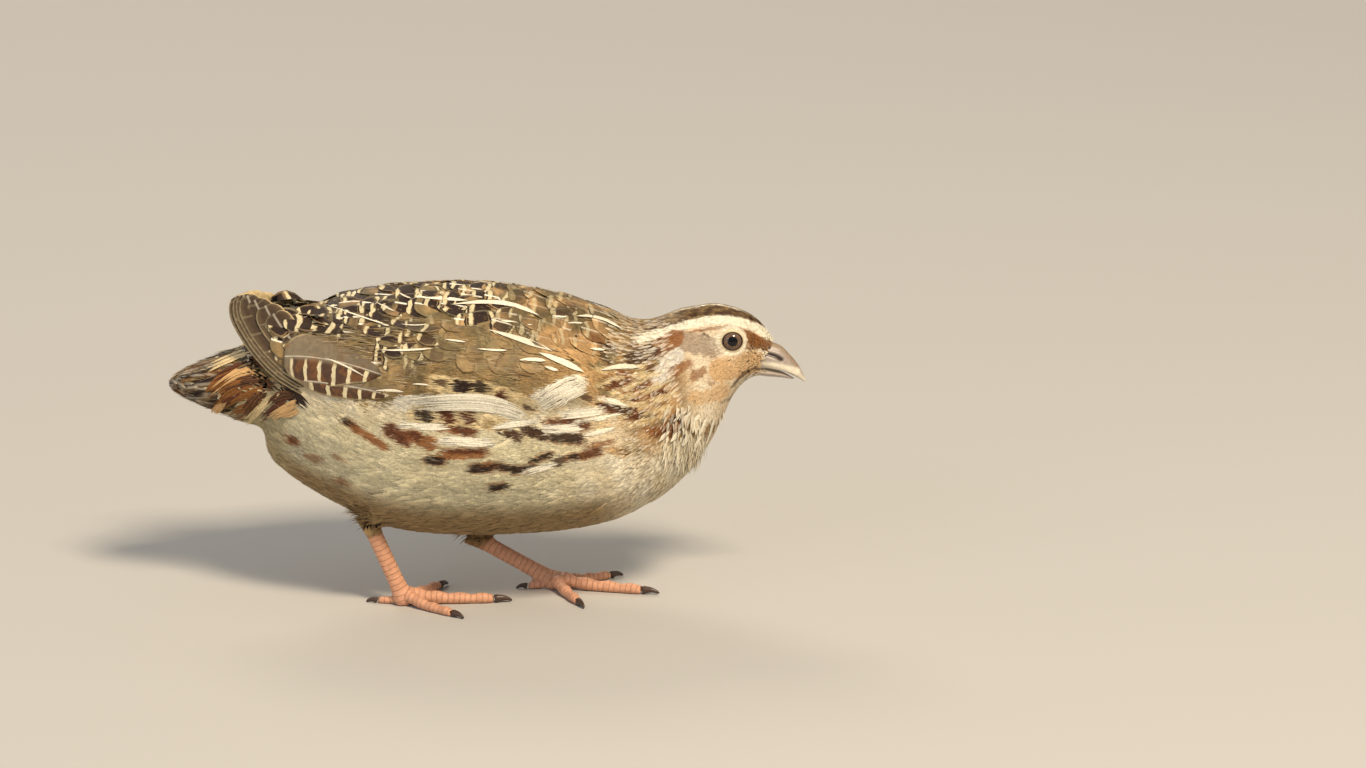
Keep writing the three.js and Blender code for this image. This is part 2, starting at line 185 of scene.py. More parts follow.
@dataclass
class BodyField:
    """Body coordinates: s runs from the rump (0) to the bill (16), a from belly (0) to back (1)."""

    stations: tuple[Station, ...] = BODY_STATIONS
    per_station: int = 6

    def __post_init__(self) -> None:
        """Samples the outline finely enough to read positions between the stations."""
        rows = np.array([(*s.top, *s.bottom, s.half) for s in self.stations])
        padded = np.vstack([2 * rows[0] - rows[1], rows, 2 * rows[-1] - rows[-2]])
        count = (len(rows) - 1) * self.per_station + 1
        self.s = np.linspace(0, len(rows) - 1, count)
        cell = np.minimum(self.s.astype(int), len(rows) - 2)
        t = (self.s - cell)[:, None]
        p0, p1, p2, p3 = (padded[cell + k] for k in range(4))
        square, cube = 2 * p0 - 5 * p1 + 4 * p2 - p3, 3 * p1 - p0 - 3 * p2 + p3
        table = 0.5 * (2 * p1 + (p2 - p0) * t + square * t**2 + cube * t**3)
        self.top, self.bottom, self.half = table[:, 0:2], table[:, 2:4], table[:, 4]

    def locate(self, points: np.ndarray) -> tuple[np.ndarray, np.ndarray]:
        """Finds the body coordinates of points.

        Args:
            points: Rows of x, y, z in millimetres.

        Returns:
            The station number s and the height share a of each point.
        """
        flat = points[:, [0, 2]]
        chord = self.bottom - self.top
        away = flat[:, None, :] - self.top[None]
        ahead = away[..., 1] * chord[:, 0] - away[..., 0] * chord[:, 1]
        ahead /= np.linalg.norm(chord, axis=1)
        last = len(self.s) - 2
        cell = np.clip((ahead > 0).sum(axis=1) - 1, 0, last)
        rows = np.arange(len(points))
        here, there = ahead[rows, cell], ahead[rows, cell + 1]
        share = np.clip(here / np.maximum(here - there, 1e-6), -2.0, 3.0)
        s = self.s[cell] + share * (self.s[cell + 1] - self.s[cell])
        inside = np.clip(share, 0.0, 1.0)
        top = blend(self.top[cell], self.top[cell + 1], inside)
        bottom = blend(self.bottom[cell], self.bottom[cell + 1], inside)
        up = top - bottom
        a = ((flat - bottom) * up).sum(axis=1) / (up * up).sum(axis=1)
        return s, a

    def tailward(self, points: np.ndarray) -> np.ndarray:
        """Finds the way towards the tail along the outline, before it is laid on the surface.

        Args:
            points: Rows of x, y, z in millimetres.

        Returns:
            One unit direction per point.
        """
        s, a = self.locate(points)
        a = np.clip(a, 0.0, 1.0)
        s = np.clip(s, 0.3, self.s[-1] - 0.3)

        def point(at: np.ndarray) -> np.ndarray:
            """Moves the given points to other stations, as high and as far out as they were.

            Args:
                at: Station numbers.

            Returns:
                Rows of x, y, z in millimetres.
            """
            columns = [
                np.interp(at, self.s, self.bottom[:, k]) * (1 - a)
                + np.interp(at, self.s, self.top[:, k]) * a
                for k in (0, 1)
            ]
            swell = np.interp(at, self.s, self.half) / np.interp(s, self.s, self.half)
            return np.stack([columns[0], points[:, 1] * swell, columns[1]], axis=1)

        return unit(point(s - 0.3) - point(s + 0.3))


@dataclass(frozen=True)
class SideSheet:
    """The slanted side view that the markings are laid out on: x along, h up the sheet, in mm."""

    tilt: float = math.radians(15.0)
    centre_z: float = 61.5

    def place(self, points: np.ndarray) -> np.ndarray:
        """Lays points on the sheet, alike for both sides of the bird.

        Args:
            points: Rows of x, y, z in millimetres.

        Returns:
            Rows of x and h.
        """
        h = (points[:, 2] - self.centre_z) * math.cos(self.tilt)
        h = h - np.abs(points[:, 1]) * math.sin(self.tilt)
        return np.stack([points[:, 0], h], axis=1)

    def ray(self, x: float, h: float, side: int) -> tuple[Vector, Vector]:
        """Aims a ray that meets the body where the sheet has (x, h).

        Args:
            x: Place along the sheet.
            h: Height on the sheet.
            side: -1 to look from the bird's right, 1 from its left.

        Returns:
            The start and the direction of the ray.
        """
        sight = Vector((0.0, -side * math.cos(self.tilt), -math.sin(self.tilt)))
        up = Vector((0.0, side * -math.sin(self.tilt), math.cos(self.tilt)))
        start = Vector((x, 0.0, self.centre_z)) + up * h - sight * 150.0
        return start, sight


def node_mesh(names: tuple[str, ...], grow: float) -> bmesh.types.BMesh:
    """Joins merged copies of solids, each grown a little so that neighbours meet.

    Args:
        names: Nodes of the frame.
        grow: Millimetres to move each surface outwards.

    Returns:
        A bmesh in metres.
    """
    joined = bmesh.new()
    for name in names:
        part = bmesh.new()
        part.from_mesh(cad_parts[name].data)
        bmesh.ops.remove_doubles(part, verts=part.verts, dist=1e-6)
        bmesh.ops.recalc_face_normals(part, faces=part.faces)
        part.normal_update()
        moves = [v.normal.copy() * (grow * MM) for v in part.verts]
        for vert, move in zip(part.verts, moves):
            vert.co += move
        scratch = bpy.data.meshes.new("scratch")
        part.to_mesh(scratch)
        joined.from_mesh(scratch)
        bpy.data.meshes.remove(scratch)
        part.free()
    return joined


def remeshed(bm: bmesh.types.BMesh, voxel: float, smooth: int) -> bpy.types.Mesh:
    """Fuses a bmesh into one closed skin.

    Args:
        bm: The joined shapes, freed here.
        voxel: Cell size in millimetres.
        smooth: Rounds of smoothing after the remesh.

    Returns:
        A new mesh in metres.
    """
    mesh = bpy.data.meshes.new("fused")
    bm.to_mesh(mesh)
    bm.free()
    holder = bpy.data.objects.new("fused", mesh)
    bpy.context.scene.collection.objects.link(holder)
    fuse = holder.modifiers.new("fuse", "REMESH")
    fuse.mode, fuse.voxel_size = "VOXEL", voxel * MM
    if smooth:
        relax = holder.modifiers.new("relax", "SMOOTH")
        relax.factor, relax.iterations = 0.5, smooth
    graph = bpy.context.evaluated_depsgraph_get()
    done = bpy.data.meshes.new_from_object(holder.evaluated_get(graph))
    bpy.data.objects.remove(holder)
    bpy.data.meshes.remove(mesh)
    return done


def pull(items: bpy.types.bpy_prop_collection, name: str, width: int = 3, kind: type = float) -> np.ndarray:
    """Reads one property of every vertex, edge or triangle of a mesh.

    Args:
        items: The vertices, normals, edges or triangles.
        name: The property.
        width: Numbers in it.
        kind: Type of the numbers.

    Returns:
        One row per item.
    """
    flat = np.empty(len(items) * width, kind)
    items.foreach_get(name, flat)
    return flat.reshape(-1, width)


def coordinates(mesh: bpy.types.Mesh) -> np.ndarray:
    """Vertex places of a mesh, in millimetres on the drawing datum."""
    return pull(mesh.vertices, "co") / MM + [DATUM_SHIFT, 0.0, 0.0]


@dataclass
class Envelope:
    """The smooth outer surface that feather tips reach, with fast projection onto it."""

    voxel: float = 0.8
    smooth: int = 16
    grow: float = 2.0

    def __post_init__(self) -> None:
        """Fuses all the solids of the plumage and prepares the search tree."""
        solids = node_mesh(FLESH + FLIGHT + BILL + EYES, self.grow)
        mesh = remeshed(solids, self.voxel, self.smooth)
        self.points = coordinates(mesh)
        self.normals = pull(mesh.vertex_normals, "vector")
        self.points -= self.normals * self.grow
        self._relax(mesh)
        self._brows()
        mesh.vertices.foreach_set("co", self.points.ravel())
        mesh.update()
        self.normals = pull(mesh.vertex_normals, "vector")
        mesh.calc_loop_triangles()
        self.triangles = pull(mesh.loop_triangles, "vertices", 3, np.int32)
        bpy.data.meshes.remove(mesh)
        self.tree = BVHTree.FromPolygons(self.points.tolist(), self.triangles.tolist())
        self.sheet = SideSheet()

    def _relax(self, mesh: bpy.types.Mesh, rounds: int = 90) -> None:
        """Smooths the steps at the edges of the folded wings, where feathers bridge them.

        Args:
            mesh: The fused solids, for their edges.
            rounds: Rounds of smoothing.
        """
        first, second = pull(mesh.edges, "vertices", 2, np.int32).T
        x, y, z = self.points.T
        share = smoothstep(7, 13, np.abs(y)) * smoothstep(52, 58, z)
        share = share * smoothstep(-60, -46, x) * smoothstep(46, 38, x)
        number = np.bincount(np.concatenate([first, second]), minlength=len(x))[:, None]
        for _ in range(rounds):
            total = np.zeros_like(self.points)
            for k in range(3):
                total[:, k] = np.bincount(first, self.points[second, k], len(x))
                total[:, k] += np.bincount(second, self.points[first, k], len(x))
            self.points += (total / np.maximum(number, 1) - self.points) * (0.6 * share[:, None])

    def _brows(self, rim: float = 2.8) -> None:
        """Raises the coat round each eye up to the edge of its lids.

        Args:
            rim: Height of the lid's edge over the centre of the eyeball, in mm.
        """
        for side in (-1.0, 1.0):
            eye = Eye(side)
            away = self.points - np.array(eye.centre) * [1, side, 1]
            up = away @ eye.axis
            gap = np.linalg.norm(away - up[:, None] * eye.axis, axis=1)
            near = (up > -2.0) & (gap < 7.5)
            fall = 0.09 * np.maximum(gap - 3.2, 0) ** 1.5
            rise = np.maximum(rim - fall - up, 0) * smoothstep(7.0, 4.0, gap)
            self.points += eye.axis * (np.where(near, rise, 0.0))[:, None]

    def settle(self, points: np.ndarray) -> tuple[np.ndarray, np.ndarray]:
        """Moves points to the nearest places on the surface.

        Args:
            points: Rows of x, y, z in millimetres.

        Returns:
            The places on the surface, and the smooth normals there.
        """
        found = [self.tree.find_nearest(p) for p in points.tolist()]
        places = np.array([f[0] for f in found])
        corners = self.triangles[np.array([f[2] for f in found])]
        return places, self._normal_at(places, corners)

    def sight(self, x: float, h: float, side: int) -> np.ndarray:
        """Finds the place on the near surface that shows at (x, h) of the side sheet.

        Args:
            x: Place along the sheet.
            h: Height on the sheet.
            side: -1 for the bird's right, 1 for its left.

        Returns:
            The place in millimetres.
        """
        start, direction = self.sheet.ray(x, h, side)
        hit = self.tree.ray_cast(start, direction)[0]
        return np.array(hit if hit else self.tree.find_nearest(start + direction * 150.0)[0])

    def _normal_at(self, places: np.ndarray, corners: np.ndarray) -> np.ndarray:
        """Mixes the vertex normals at places on the surface.

        Args:
            places: Rows of x, y, z.
            corners: The three vertices of the triangle under each place.

        Returns:
            One unit normal per place.
        """
        a, b, c = (self.points[corners[:, k]] for k in range(3))
        v0, v1, v2 = b - a, c - a, places - a
        d00, d01, d11 = (v0 * v0).sum(1), (v0 * v1).sum(1), (v1 * v1).sum(1)
        d20, d21 = (v2 * v0).sum(1), (v2 * v1).sum(1)
        below = np.maximum(d00 * d11 - d01 * d01, 1e-12)
        v = np.clip((d11 * d20 - d01 * d21) / below, 0, 1)
        w = np.clip((d00 * d21 - d01 * d20) / below, 0, 1)
        share = np.stack([1 - v - w, v, w], axis=1)[..., None]
        return unit((self.normals[corners] * share).sum(axis=1))


# Markings


@dataclass(frozen=True)
class Stroke:
    """A soft mark along a line of the side sheet: places and sizes in mm."""

    path: tuple[tuple[float, float], ...]
    width: float
    tint: Tint
    soft: float
    strength: float

    def mask(self, places: np.ndarray) -> np.ndarray:
        """Tells how strongly the mark colours places.

        Args:
            places: Rows of x and h on the side sheet.

        Returns:
            A share of one per place.
        """
        path = np.array(self.path)
        reach = self.width / 2 + 0.6 * self.soft
        low, high = path.min(axis=0) - reach, path.max(axis=0) + reach
        near = np.flatnonzero(((places > low) & (places < high)).all(axis=1))
        share = np.zeros(len(places))
        if len(near) == 0:
            return share
        spot, best = places[near], np.full(len(near), 1e9)
        for start, end in zip(path[:-1], path[1:]):
            line = end - start
            t = np.clip((spot - start) @ line / max(line @ line, 1e-9), 0, 1)
            gap = np.linalg.norm(spot - start - t[:, None] * line, axis=1)
            best = np.minimum(best, gap)
        share[near] = self.strength * (1 - smoothstep(self.width / 2 - self.soft / 2, reach, best))
        return share

    def ragged(self, places: np.ndarray, grain: np.ndarray) -> np.ndarray:
        """The mark with its edge broken up by a fine grain."""
        whole = self.mask(places)
        return self.strength * smoothstep(0.22, 0.62, whole + 0.5 * (grain - 0.5)) * (whole > 0)

    def lay(self, strand: float, layer: float) -> "Lay":
        """Turns the mark into feathers laid over the coat, a little past both of its ends.

        Args:
            strand: Width of one feather.
            layer: Height over the coat.

        Returns:
            The feathers.
        """
        first, last = sorted(self.path, reverse=True)
        over = 2.4 * unit(np.subtract(last, first))
        root, tip = first - 0.8 * over, last + over
        row = (*root, *((root + tip) / 2), *tip, 0.92 * self.width)
        return Lay(self.tint, (row,), layer, strand, 0.45)


def strokes(*rows: tuple) -> tuple[Stroke, ...]:
    """Makes marks from plain rows.

    Args:
        rows: Each a tint, width, softness and strength, then the places of the line.

    Returns:
        One mark per row.
    """
    return tuple(Stroke(row[4:], row[1], row[0], row[2], row[3]) for row in rows)


MARKS = strokes(
    (Tint.CREAM, 2.3, 0.8, 1, (82.3, 12.4), (80.1, 14.2), (77.8, 15.6), (73.0, 17.3), (68.3, 18.0),
     (63.5, 17.7), (58.8, 16.7), (51.5, 14.6), (44.8, 12.6)),  # brow
    (Tint.UMBER, 0.9, 0.8, 0.6, (80.4, 16.0), (77.8, 17.6), (72.6, 19.3), (66.1, 20.0), (61.6, 19.6),
     (53.8, 17.3), (46.2, 14.8)),  # brow shade
    (Tint.RUFOUS, 0.8, 0.8, 0.7, (62.2, 15.1), (57.1, 14.0), (51.5, 12.3), (47.6, 10.6)),  # temple line
    (Tint.OCHRE, 0.9, 0.6, 0.7, (75.0, 14.0), (73.0, 15.3), (70.2, 16.1), (65.9, 15.6),
     (61.6, 14.9)),  # line over the eye
    (Tint.OCHRE, 4.4, 1.1, 0.8, (73.4, 11.9), (76.6, 11.6)),  # lore
    (Tint.OCHRE, 3.1, 1.1, 0.9, (81.2, 10.4), (77.8, 11.8), (74.8, 13.4)),  # lore
    (Tint.RUFOUS, 1.1, 0.8, 0.8, (79.5, 11.5), (77.6, 12.3)),  # lore heart
    (Tint.CREAM, 1.4, 0.8, 0.7, (80.1, 8.4), (75.6, 9.0), (72.2, 8.7)),  # gape
    (Tint.CREAM, 1.1, 0.6, 0.9, (74.6, 5.0), (78.0, 4.9), (81.5, 4.9)),  # gape edge
    (Tint.UMBER, 0.8, 0.6, 0.85, (62.7, 14.0), (64.1, 12.9)),  # fleck
    (Tint.UMBER, 0.7, 0.6, 0.7, (65.2, 12.0), (65.5, 10.9)),  # fleck
    (Tint.EAR, 5.3, 2.6, 0.9, (65.0, 10.1), (61.0, 11.2), (57.1, 11.8)),  # ear coverts
    (Tint.CHEEK, 6.2, 2.2, 0.9, (76.2, 6.2), (71.4, 4.8), (67.2, 3.9)),  # cheek
    (Tint.UMBER, 0.7, 0.6, 0.75, (80.6, 3.4), (76.7, 4.5), (73.1, 2.2), (70.6, -0.8)),  # jaw line
    (Tint.CREAM, 1.4, 0.8, 0.7, (81.8, 1.7), (76.2, 2.2), (72.8, -0.6)),  # chin
    (Tint.RUFOUS, 2.5, 1.4, 0.8, (54.9, 3.6), (58.2, 5.6)),  # ear spot
    (Tint.RUFOUS, 2.8, 1.4, 0.75, (60.2, 2.2), (62.2, 3.4)),  # jaw spot
    (Tint.RUFOUS, 1.4, 1.1, 0.5, (63.8, 0.6), (65.5, 0.0)),  # jaw spot
    (Tint.GREY_WHITE, 3.9, 1.4, 0.9, (50.4, 2.2), (52.4, 5.6), (55.2, 8.1)),  # neck patch
    (Tint.RUFOUS, 4.5, 1.4, 0.9, (54.9, 12.9), (51.0, 10.6)),  # ear patch
    (Tint.UMBER, 4.5, 1.4, 0.9, (48.4, 9.5), (43.7, 7.3)),  # nape patch
    (Tint.UMBER, 1.0, 0.8, 0.6, (67.8, -5.0), (71.1, -3.6)),  # throat flecks
    (Tint.CHEEK, 3.9, 2.2, 0.75, (60.5, -3.9), (65.0, -3.4), (67.8, -1.7)),  # throat
)

FLANK_MARKS = strokes(
    # dark and rusty patches of the flank, by row
    (Tint.RUFOUS, 2.2, 1.1, 0.95, (-9.2, -12.3), (-5.0, -12.9)),
    (Tint.CHESTNUT, 2.5, 1.1, 0.95, (-5.6, -12.0), (-0.8, -13.2)),
    (Tint.CHESTNUT, 3.4, 1.1, 0.95, (-23.5, -12.9), (-19.0, -15.7)),
    (Tint.RUFOUS, 3.4, 1.1, 0.95, (-17.1, -14.6), (-11.8, -16.8)),
    (Tint.CHESTNUT, 2.2, 1.1, 0.9, (-17.4, -14.0), (-15.7, -14.8)),
    (Tint.RUFOUS, 2.2, 1.1, 0.95, (-9.5, -19.9), (2.8, -19.3)),
    (Tint.CHESTNUT, 1.1, 0.8, 0.9, (-7.8, -18.8), (2.8, -18.5)),
    (Tint.BLACK_BROWN, 2.0, 0.8, 0.95, (-12.9, -21.0), (-9.2, -21.3)),
    (Tint.BLACK_BROWN, 2.2, 0.8, 0.95, (-0.3, -23.5), (4.5, -23.0)),
    (Tint.RUFOUS, 1.4, 0.8, 0.8, (2.2, -22.1), (3.9, -21.8)),
    (Tint.BLACK_BROWN, 1.8, 0.8, 0.95, (6.4, -22.7), (11.8, -24.1), (16.2, -23.2)),
    (Tint.BLACK_BROWN, 1.4, 0.8, 0.95, (16.2, -21.3), (20.7, -19.6)),
    (Tint.UMBER, 2.2, 1.1, 0.9, (22.1, -22.1), (24.1, -21.0)),
    (Tint.BLACK_BROWN, 1.4, 0.8, 0.95, (25.8, -20.2), (30.2, -19.9)),
    (Tint.CHESTNUT, 2.0, 0.8, 0.9, (30.2, -19.6), (34.2, -18.5)),
    (Tint.RUFOUS, 1.4, 1.1, 0.8, (31.9, -17.1), (37.5, -16.0)),
    (Tint.BUFF, 2.0, 1.4, 0.9, (37.0, -18.2), (40.9, -19.0)),
    (Tint.UMBER, 1.1, 0.6, 0.8, (40.9, -18.2), (41.7, -18.8)),
    (Tint.BLACK_BROWN, 2.8, 1.1, 0.9, (21.8, -14.6), (28.8, -15.1)),
    (Tint.UMBER, 2.5, 1.1, 1, (7.8, -12.6), (11.8, -14.8)),
    (Tint.UMBER, 2.8, 1.4, 1, (14.0, -12.9), (19.0, -14.3)),
    (Tint.CHESTNUT, 1.7, 1.1, 0.8, (19.9, -10.6), (23.8, -10.9)),
    (Tint.CHESTNUT, 2.5, 1.4, 0.9, (26.0, -10.4), (30.2, -11.5)),
    (Tint.UMBER, 1.7, 1.1, 0.8, (29.7, -3.6), (31.6, -4.5)),
    (Tint.UMBER, 2.2, 1.1, 0.9, (36.4, -5.3), (42.3, -7.8)),
    (Tint.UMBER, 1.1, 0.8, 0.7, (45.1, -8.4), (48.4, -8.7)),
    (Tint.RUFOUS, 2.2, 1.1, 0.8, (48.7, -13.2), (51.5, -11.5), (54.6, -10.1)),
    (Tint.UMBER, 1.7, 1.1, 0.7, (53.2, -10.1), (55.4, -9.5)),
    (Tint.UMBER, 1.4, 1.1, 0.7, (56.8, -11.8), (58.0, -12.9)),
    (Tint.BLACK_BROWN, 1.7, 0.8, 0.95, (5.0, -28.8), (7.6, -28.3)),
    (Tint.OCHRE, 1.4, 1.4, 0.5, (33.0, -30.8), (34.7, -30.2)),
    # pale streaks
    (Tint.WHITE, 2.2, 1.1, 0.9, (-8.7, -15.7), (3.9, -16.2)),
    (Tint.WHITE, 1.7, 1.1, 0.8, (-20.2, -11.5), (-8.4, -11.8)),
    (Tint.WHITE, 1.4, 0.8, 0.9, (4.8, -11.8), (16.8, -10.4)),
    (Tint.WHITE, 2.2, 1.1, 0.9, (19.6, -12.6), (27.7, -12.3)),
    (Tint.WHITE, 2.0, 1.1, 0.9, (24.4, -8.4), (34.2, -7.3)),
    (Tint.WHITE, 1.0, 0.8, 0.8, (28.3, -10.4), (39.2, -8.4)),
    (Tint.WHITE, 1.1, 0.8, 0.8, (30.8, -14.0), (37.8, -12.6)),
    (Tint.WHITE, 1.3, 0.8, 0.8, (13.7, -24.4), (20.7, -22.4)),
    (Tint.CREAM, 1.1, 0.8, 0.8, (34.4, -3.9), (41.4, -5.9)),
    # behind the wing
    (Tint.BLACK_BROWN, 1.7, 0.8, 0.95, (-36.4, -10.4), (-33.3, -12.3)),
    (Tint.RUFOUS, 2.2, 1.1, 0.95, (-33.3, -12.6), (-29.1, -15.1), (-24.6, -17.9)),
    # vent spots
    (Tint.RUFOUS, 2.5, 1.1, 0.9, (-52.4, -16.0), (-50.7, -16.5)),
    (Tint.CHESTNUT, 1.4, 0.8, 0.8, (-51.5, -16.0), (-50.1, -16.5)),
    (Tint.RUFOUS, 2.5, 1.4, 0.7, (-46.5, -20.4), (-43.7, -21.6)),
    (Tint.RUFOUS, 1.7, 1.1, 0.7, (-38.9, -20.4), (-37.8, -21.0)),
    (Tint.RUFOUS, 2.2, 1.4, 0.7, (-38.4, -27.2), (-36.7, -27.7)),
)

NECK_PATCHES = (
    (3.2, (43.0, -7.9), (38.8, -7.1), (35.2, -5.1)),
    (2.6, (46.4, -0.9), (45.4, -0.9), (44.4, -0.3)),
    (3.0, (41.2, 0.3), (38.8, 0.1), (36.8, 0.5)),
    (2.6, (43.6, 1.5), (41.8, 1.7), (40.6, 2.1)),
    (2.0, (45.6, -2.5), (43.6, -3.7), (41.6, -3.7)),
    (2.2, (52.4, -2.5), (50.4, -1.9), (48.4, -2.5)),
    (2.2, (49.6, -8.3), (47.2, -8.5), (45.2, -8.9)),
    (3.2, (56.0, -9.3), (54.4, -10.9), (52.8, -12.5)),
    (2.6, (49.6, -12.9), (51.2, -12.5), (54.4, -10.5)),
)
NECK_LANCES = (
    (1.5, (45.6, 5.1), (39.6, 4.6), (33.6, 3.7)),
    (1.6, (47.2, 2.3), (42.6, -0.7), (37.6, -2.7)),
    (1.8, (50.4, -0.1), (45.6, -2.5), (39.6, -3.7)),
    (1.6, (44.0, -5.5), (38.4, -4.7), (34.0, -4.4)),
    (1.2, (51.2, -8.5), (47.2, -9.8), (43.0, -11.3)),
    (1.5, (43.2, -7.9), (40.0, -8.9), (33.6, -9.3)),
    (1.7, (53.6, -5.7), (50.4, -6.7), (46.4, -8.9)),
    (1.9, (54.4, -2.5), (50.4, -3.7), (45.6, -5.7)),
    (1.3, (40.8, 1.9), (37.2, 1.1), (33.6, -0.9)),
    (1.5, (50.4, 3.1), (46.8, 3.1), (43.2, 2.3)),
)
NECK_MARKS = (
    *(Stroke(tuple(path), width, Tint.CHESTNUT, 0.8, 0.95) for width, *path in NECK_PATCHES),
    *(Stroke(tuple(path), width, Tint.PALE_BUFF, 0.5, 0.8) for width, *path in NECK_LANCES),
)

RING_RADIUS = 3.75
RING_PATH = tuple(
    (EYE_PLACE[0] + RING_RADIUS * math.cos(turn), EYE_PLACE[1] + RING_RADIUS * math.sin(turn))
    for turn in np.linspace(0, 2 * math.pi, 17)
)
EYE_RING = Stroke(RING_PATH, 1.0, Tint.CREAM, 0.6, 0.8)

BACK_MARKS = strokes(
    # nape
    (Tint.UMBER, 2.0, 0.8, 0.85, (21.8, 19.9), (25.5, 19.3)),
    (Tint.UMBER, 1.4, 0.8, 0.85, (24.6, 21.6), (27.2, 21.3)),
    (Tint.BLACK_BROWN, 1.7, 0.8, 0.8, (29.1, 19.3), (31.9, 19.3)),
    # shoulder
    (Tint.BUFF, 7.3, 2.8, 0.9, (20.2, 12.3), (30.8, 9.0)),
    (Tint.RUFOUS, 2.2, 1.1, 0.8, (32.2, 12.6), (35.6, 11.2)),
    # side of the neck
    (Tint.UMBER, 1.7, 1.1, 0.8, (35.0, 7.6), (37.0, 5.3)),
    (Tint.UMBER, 1.7, 1.1, 0.8, (35.8, 10.6), (38.1, 9.5)),
    (Tint.RUFOUS, 1.7, 1.1, 0.7, (39.8, 3.4), (43.1, 1.7)),
    (Tint.RUFOUS, 1.7, 1.1, 0.7, (44.8, -2.2), (48.2, -3.9)),
    (Tint.RUFOUS, 1.4, 1.1, 0.6, (38.6, -1.1), (41.4, -2.2)),
    (Tint.UMBER, 1.4, 0.8, 0.5, (45.4, 1.1), (46.5, 0.0)),
    (Tint.RUFOUS, 3.4, 1.7, 0.35, (-52.6, 7.8), (-51.0, 6.2)),  # tertial tip
)

BAR_MARKS = strokes(
    (Tint.WHITE, 4.4, 0.8, 0.95, (12.0, -7.9), (0.0, -4.9), (-20.0, -5.4)),  # flank plume
    (Tint.WHITE, 5.0, 1.0, 0.9, (28.0, 0.0), (23.0, -1.6), (17.0, -5.4)),  # shoulder tuft
    (Tint.PALE_BUFF, 4.4, 1.2, 0.85, (16.0, -6.6), (9.0, -3.6), (2.0, -1.4), (-4.5, -0.8),
     (-10.5, 0.4)),  # upper row
    (Tint.BLACK_BROWN, 3.3, 0.5, 1, (-4.8, -0.4), (-2.4, -0.9)),
    (Tint.BLACK_BROWN, 3.4, 0.5, 0.95, (1.2, -0.8), (2.2, -1.5)),
    (Tint.CHESTNUT, 2.6, 0.5, 1, (6.8, -2.3), (7.4, -3.9)),
    (Tint.UMBER, 1.6, 0.6, 0.9, (-10.3, 0.6), (-8.2, 0.2)),
    (Tint.UMBER, 1.4, 0.6, 0.9, (14.0, -6.4), (16.0, -7.0)),
    (Tint.PALE_BUFF, 4.6, 1.2, 0.85, (6.0, -10.8), (-2.0, -9.6), (-10.0, -8.8), (-16.5, -8.4)),  # lower row
    (Tint.BLACK_BROWN, 3.6, 0.5, 0.95, (-14.4, -8.6), (-12.8, -9.3)),
    (Tint.CHESTNUT, 3.8, 0.5, 1, (-8.1, -8.0), (-7.3, -9.4)),
    (Tint.CHESTNUT, 3.1, 0.5, 0.95, (-2.0, -8.8), (-1.4, -9.8)),
    (Tint.SAND, 2.6, 0.8, 0.8, (3.0, -11.6), (4.2, -11.2)),
)

BROW_LINE = tuple(reversed(MARKS[0].path))


def over_brow(sheet: np.ndarray) -> np.ndarray:
    """Height of places of the side sheet over the pale brow line."""
    along, height = np.array(BROW_LINE).T
    return sheet[:, 1] - np.interp(sheet[:, 0], along, height)


class Part(IntEnum):
    """The part of the bird that a place of the coat belongs to."""

    BODY = 0
    WING = 1
    PRIMARIES = 2
    TAIL = 3
    THIGH = 4
    FOOT = 5
    BILL = 6


PART_OF_NODE = {
    "wing_": Part.WING,
    "primaries_": Part.PRIMARIES,
    "tail": Part.TAIL,
    "thigh_": Part.THIGH,
    "tarsus_": Part.FOOT,
    "toe_": Part.FOOT,
    "bill_": Part.BILL,
}
WING_AXIS = np.array(
    [(33, 24, 69), (19, 28, 72), (4, 29, 74.5), (-14, 28, 75.5), (-31, 24, 75), (-45, 18, 73.5)]
    + [(-55, 12, 76), (-64, 7.5, 81), (-71.7, 4.7, 84.8)]
)


def ripple(points: np.ndarray, wavelength: float, seed: int) -> np.ndarray:
    """Soft seeded mottling between 0 and 1.

    Args:
        points: Rows of x, y, z in millimetres.
        wavelength: Size of the mottles in millimetres.
        seed: Picks one of many patterns.

    Returns:
        One value per point.
    """
    rng = np.random.default_rng(seed)
    total = np.zeros(len(points))
    for _ in range(7):
        way = unit(rng.normal(size=(1, 3)))[0] * (2 * math.pi / (wavelength * rng.uniform(0.7, 1.6)))
        total += np.sin(points @ way + rng.uniform(0, 2 * math.pi))
    return 0.5 + total / 7.0


@dataclass
class Sites:
    """Places on the envelope with all that the coat needs to know about them."""

    points: np.ndarray
    normals: np.ndarray
    s: np.ndarray
    a: np.ndarray
    sheet: np.ndarray
    part: np.ndarray

    def take(self, which: np.ndarray) -> "Sites":
        """The chosen rows."""
        return Sites(*(getattr(self, k)[which] for k in ("points", "normals", "s", "a", "sheet", "part")))

    def spaced(self, spacing: float, seed: int) -> "Sites":
        """Keeps one site in each cell of a grid, so that they lie evenly.

        Args:
            spacing: Size of a cell in millimetres.
            seed: Shifts the grid.

        Returns:
            The sites kept.
        """
        shift = np.random.default_rng(seed).uniform(0, spacing, 3)
        cells = np.floor((self.points + shift) / spacing).astype(np.int64)
        key = (cells[:, 0] * 4001 + cells[:, 1]) * 4001 + cells[:, 2]
        return self.take(np.unique(key, return_index=True)[1])


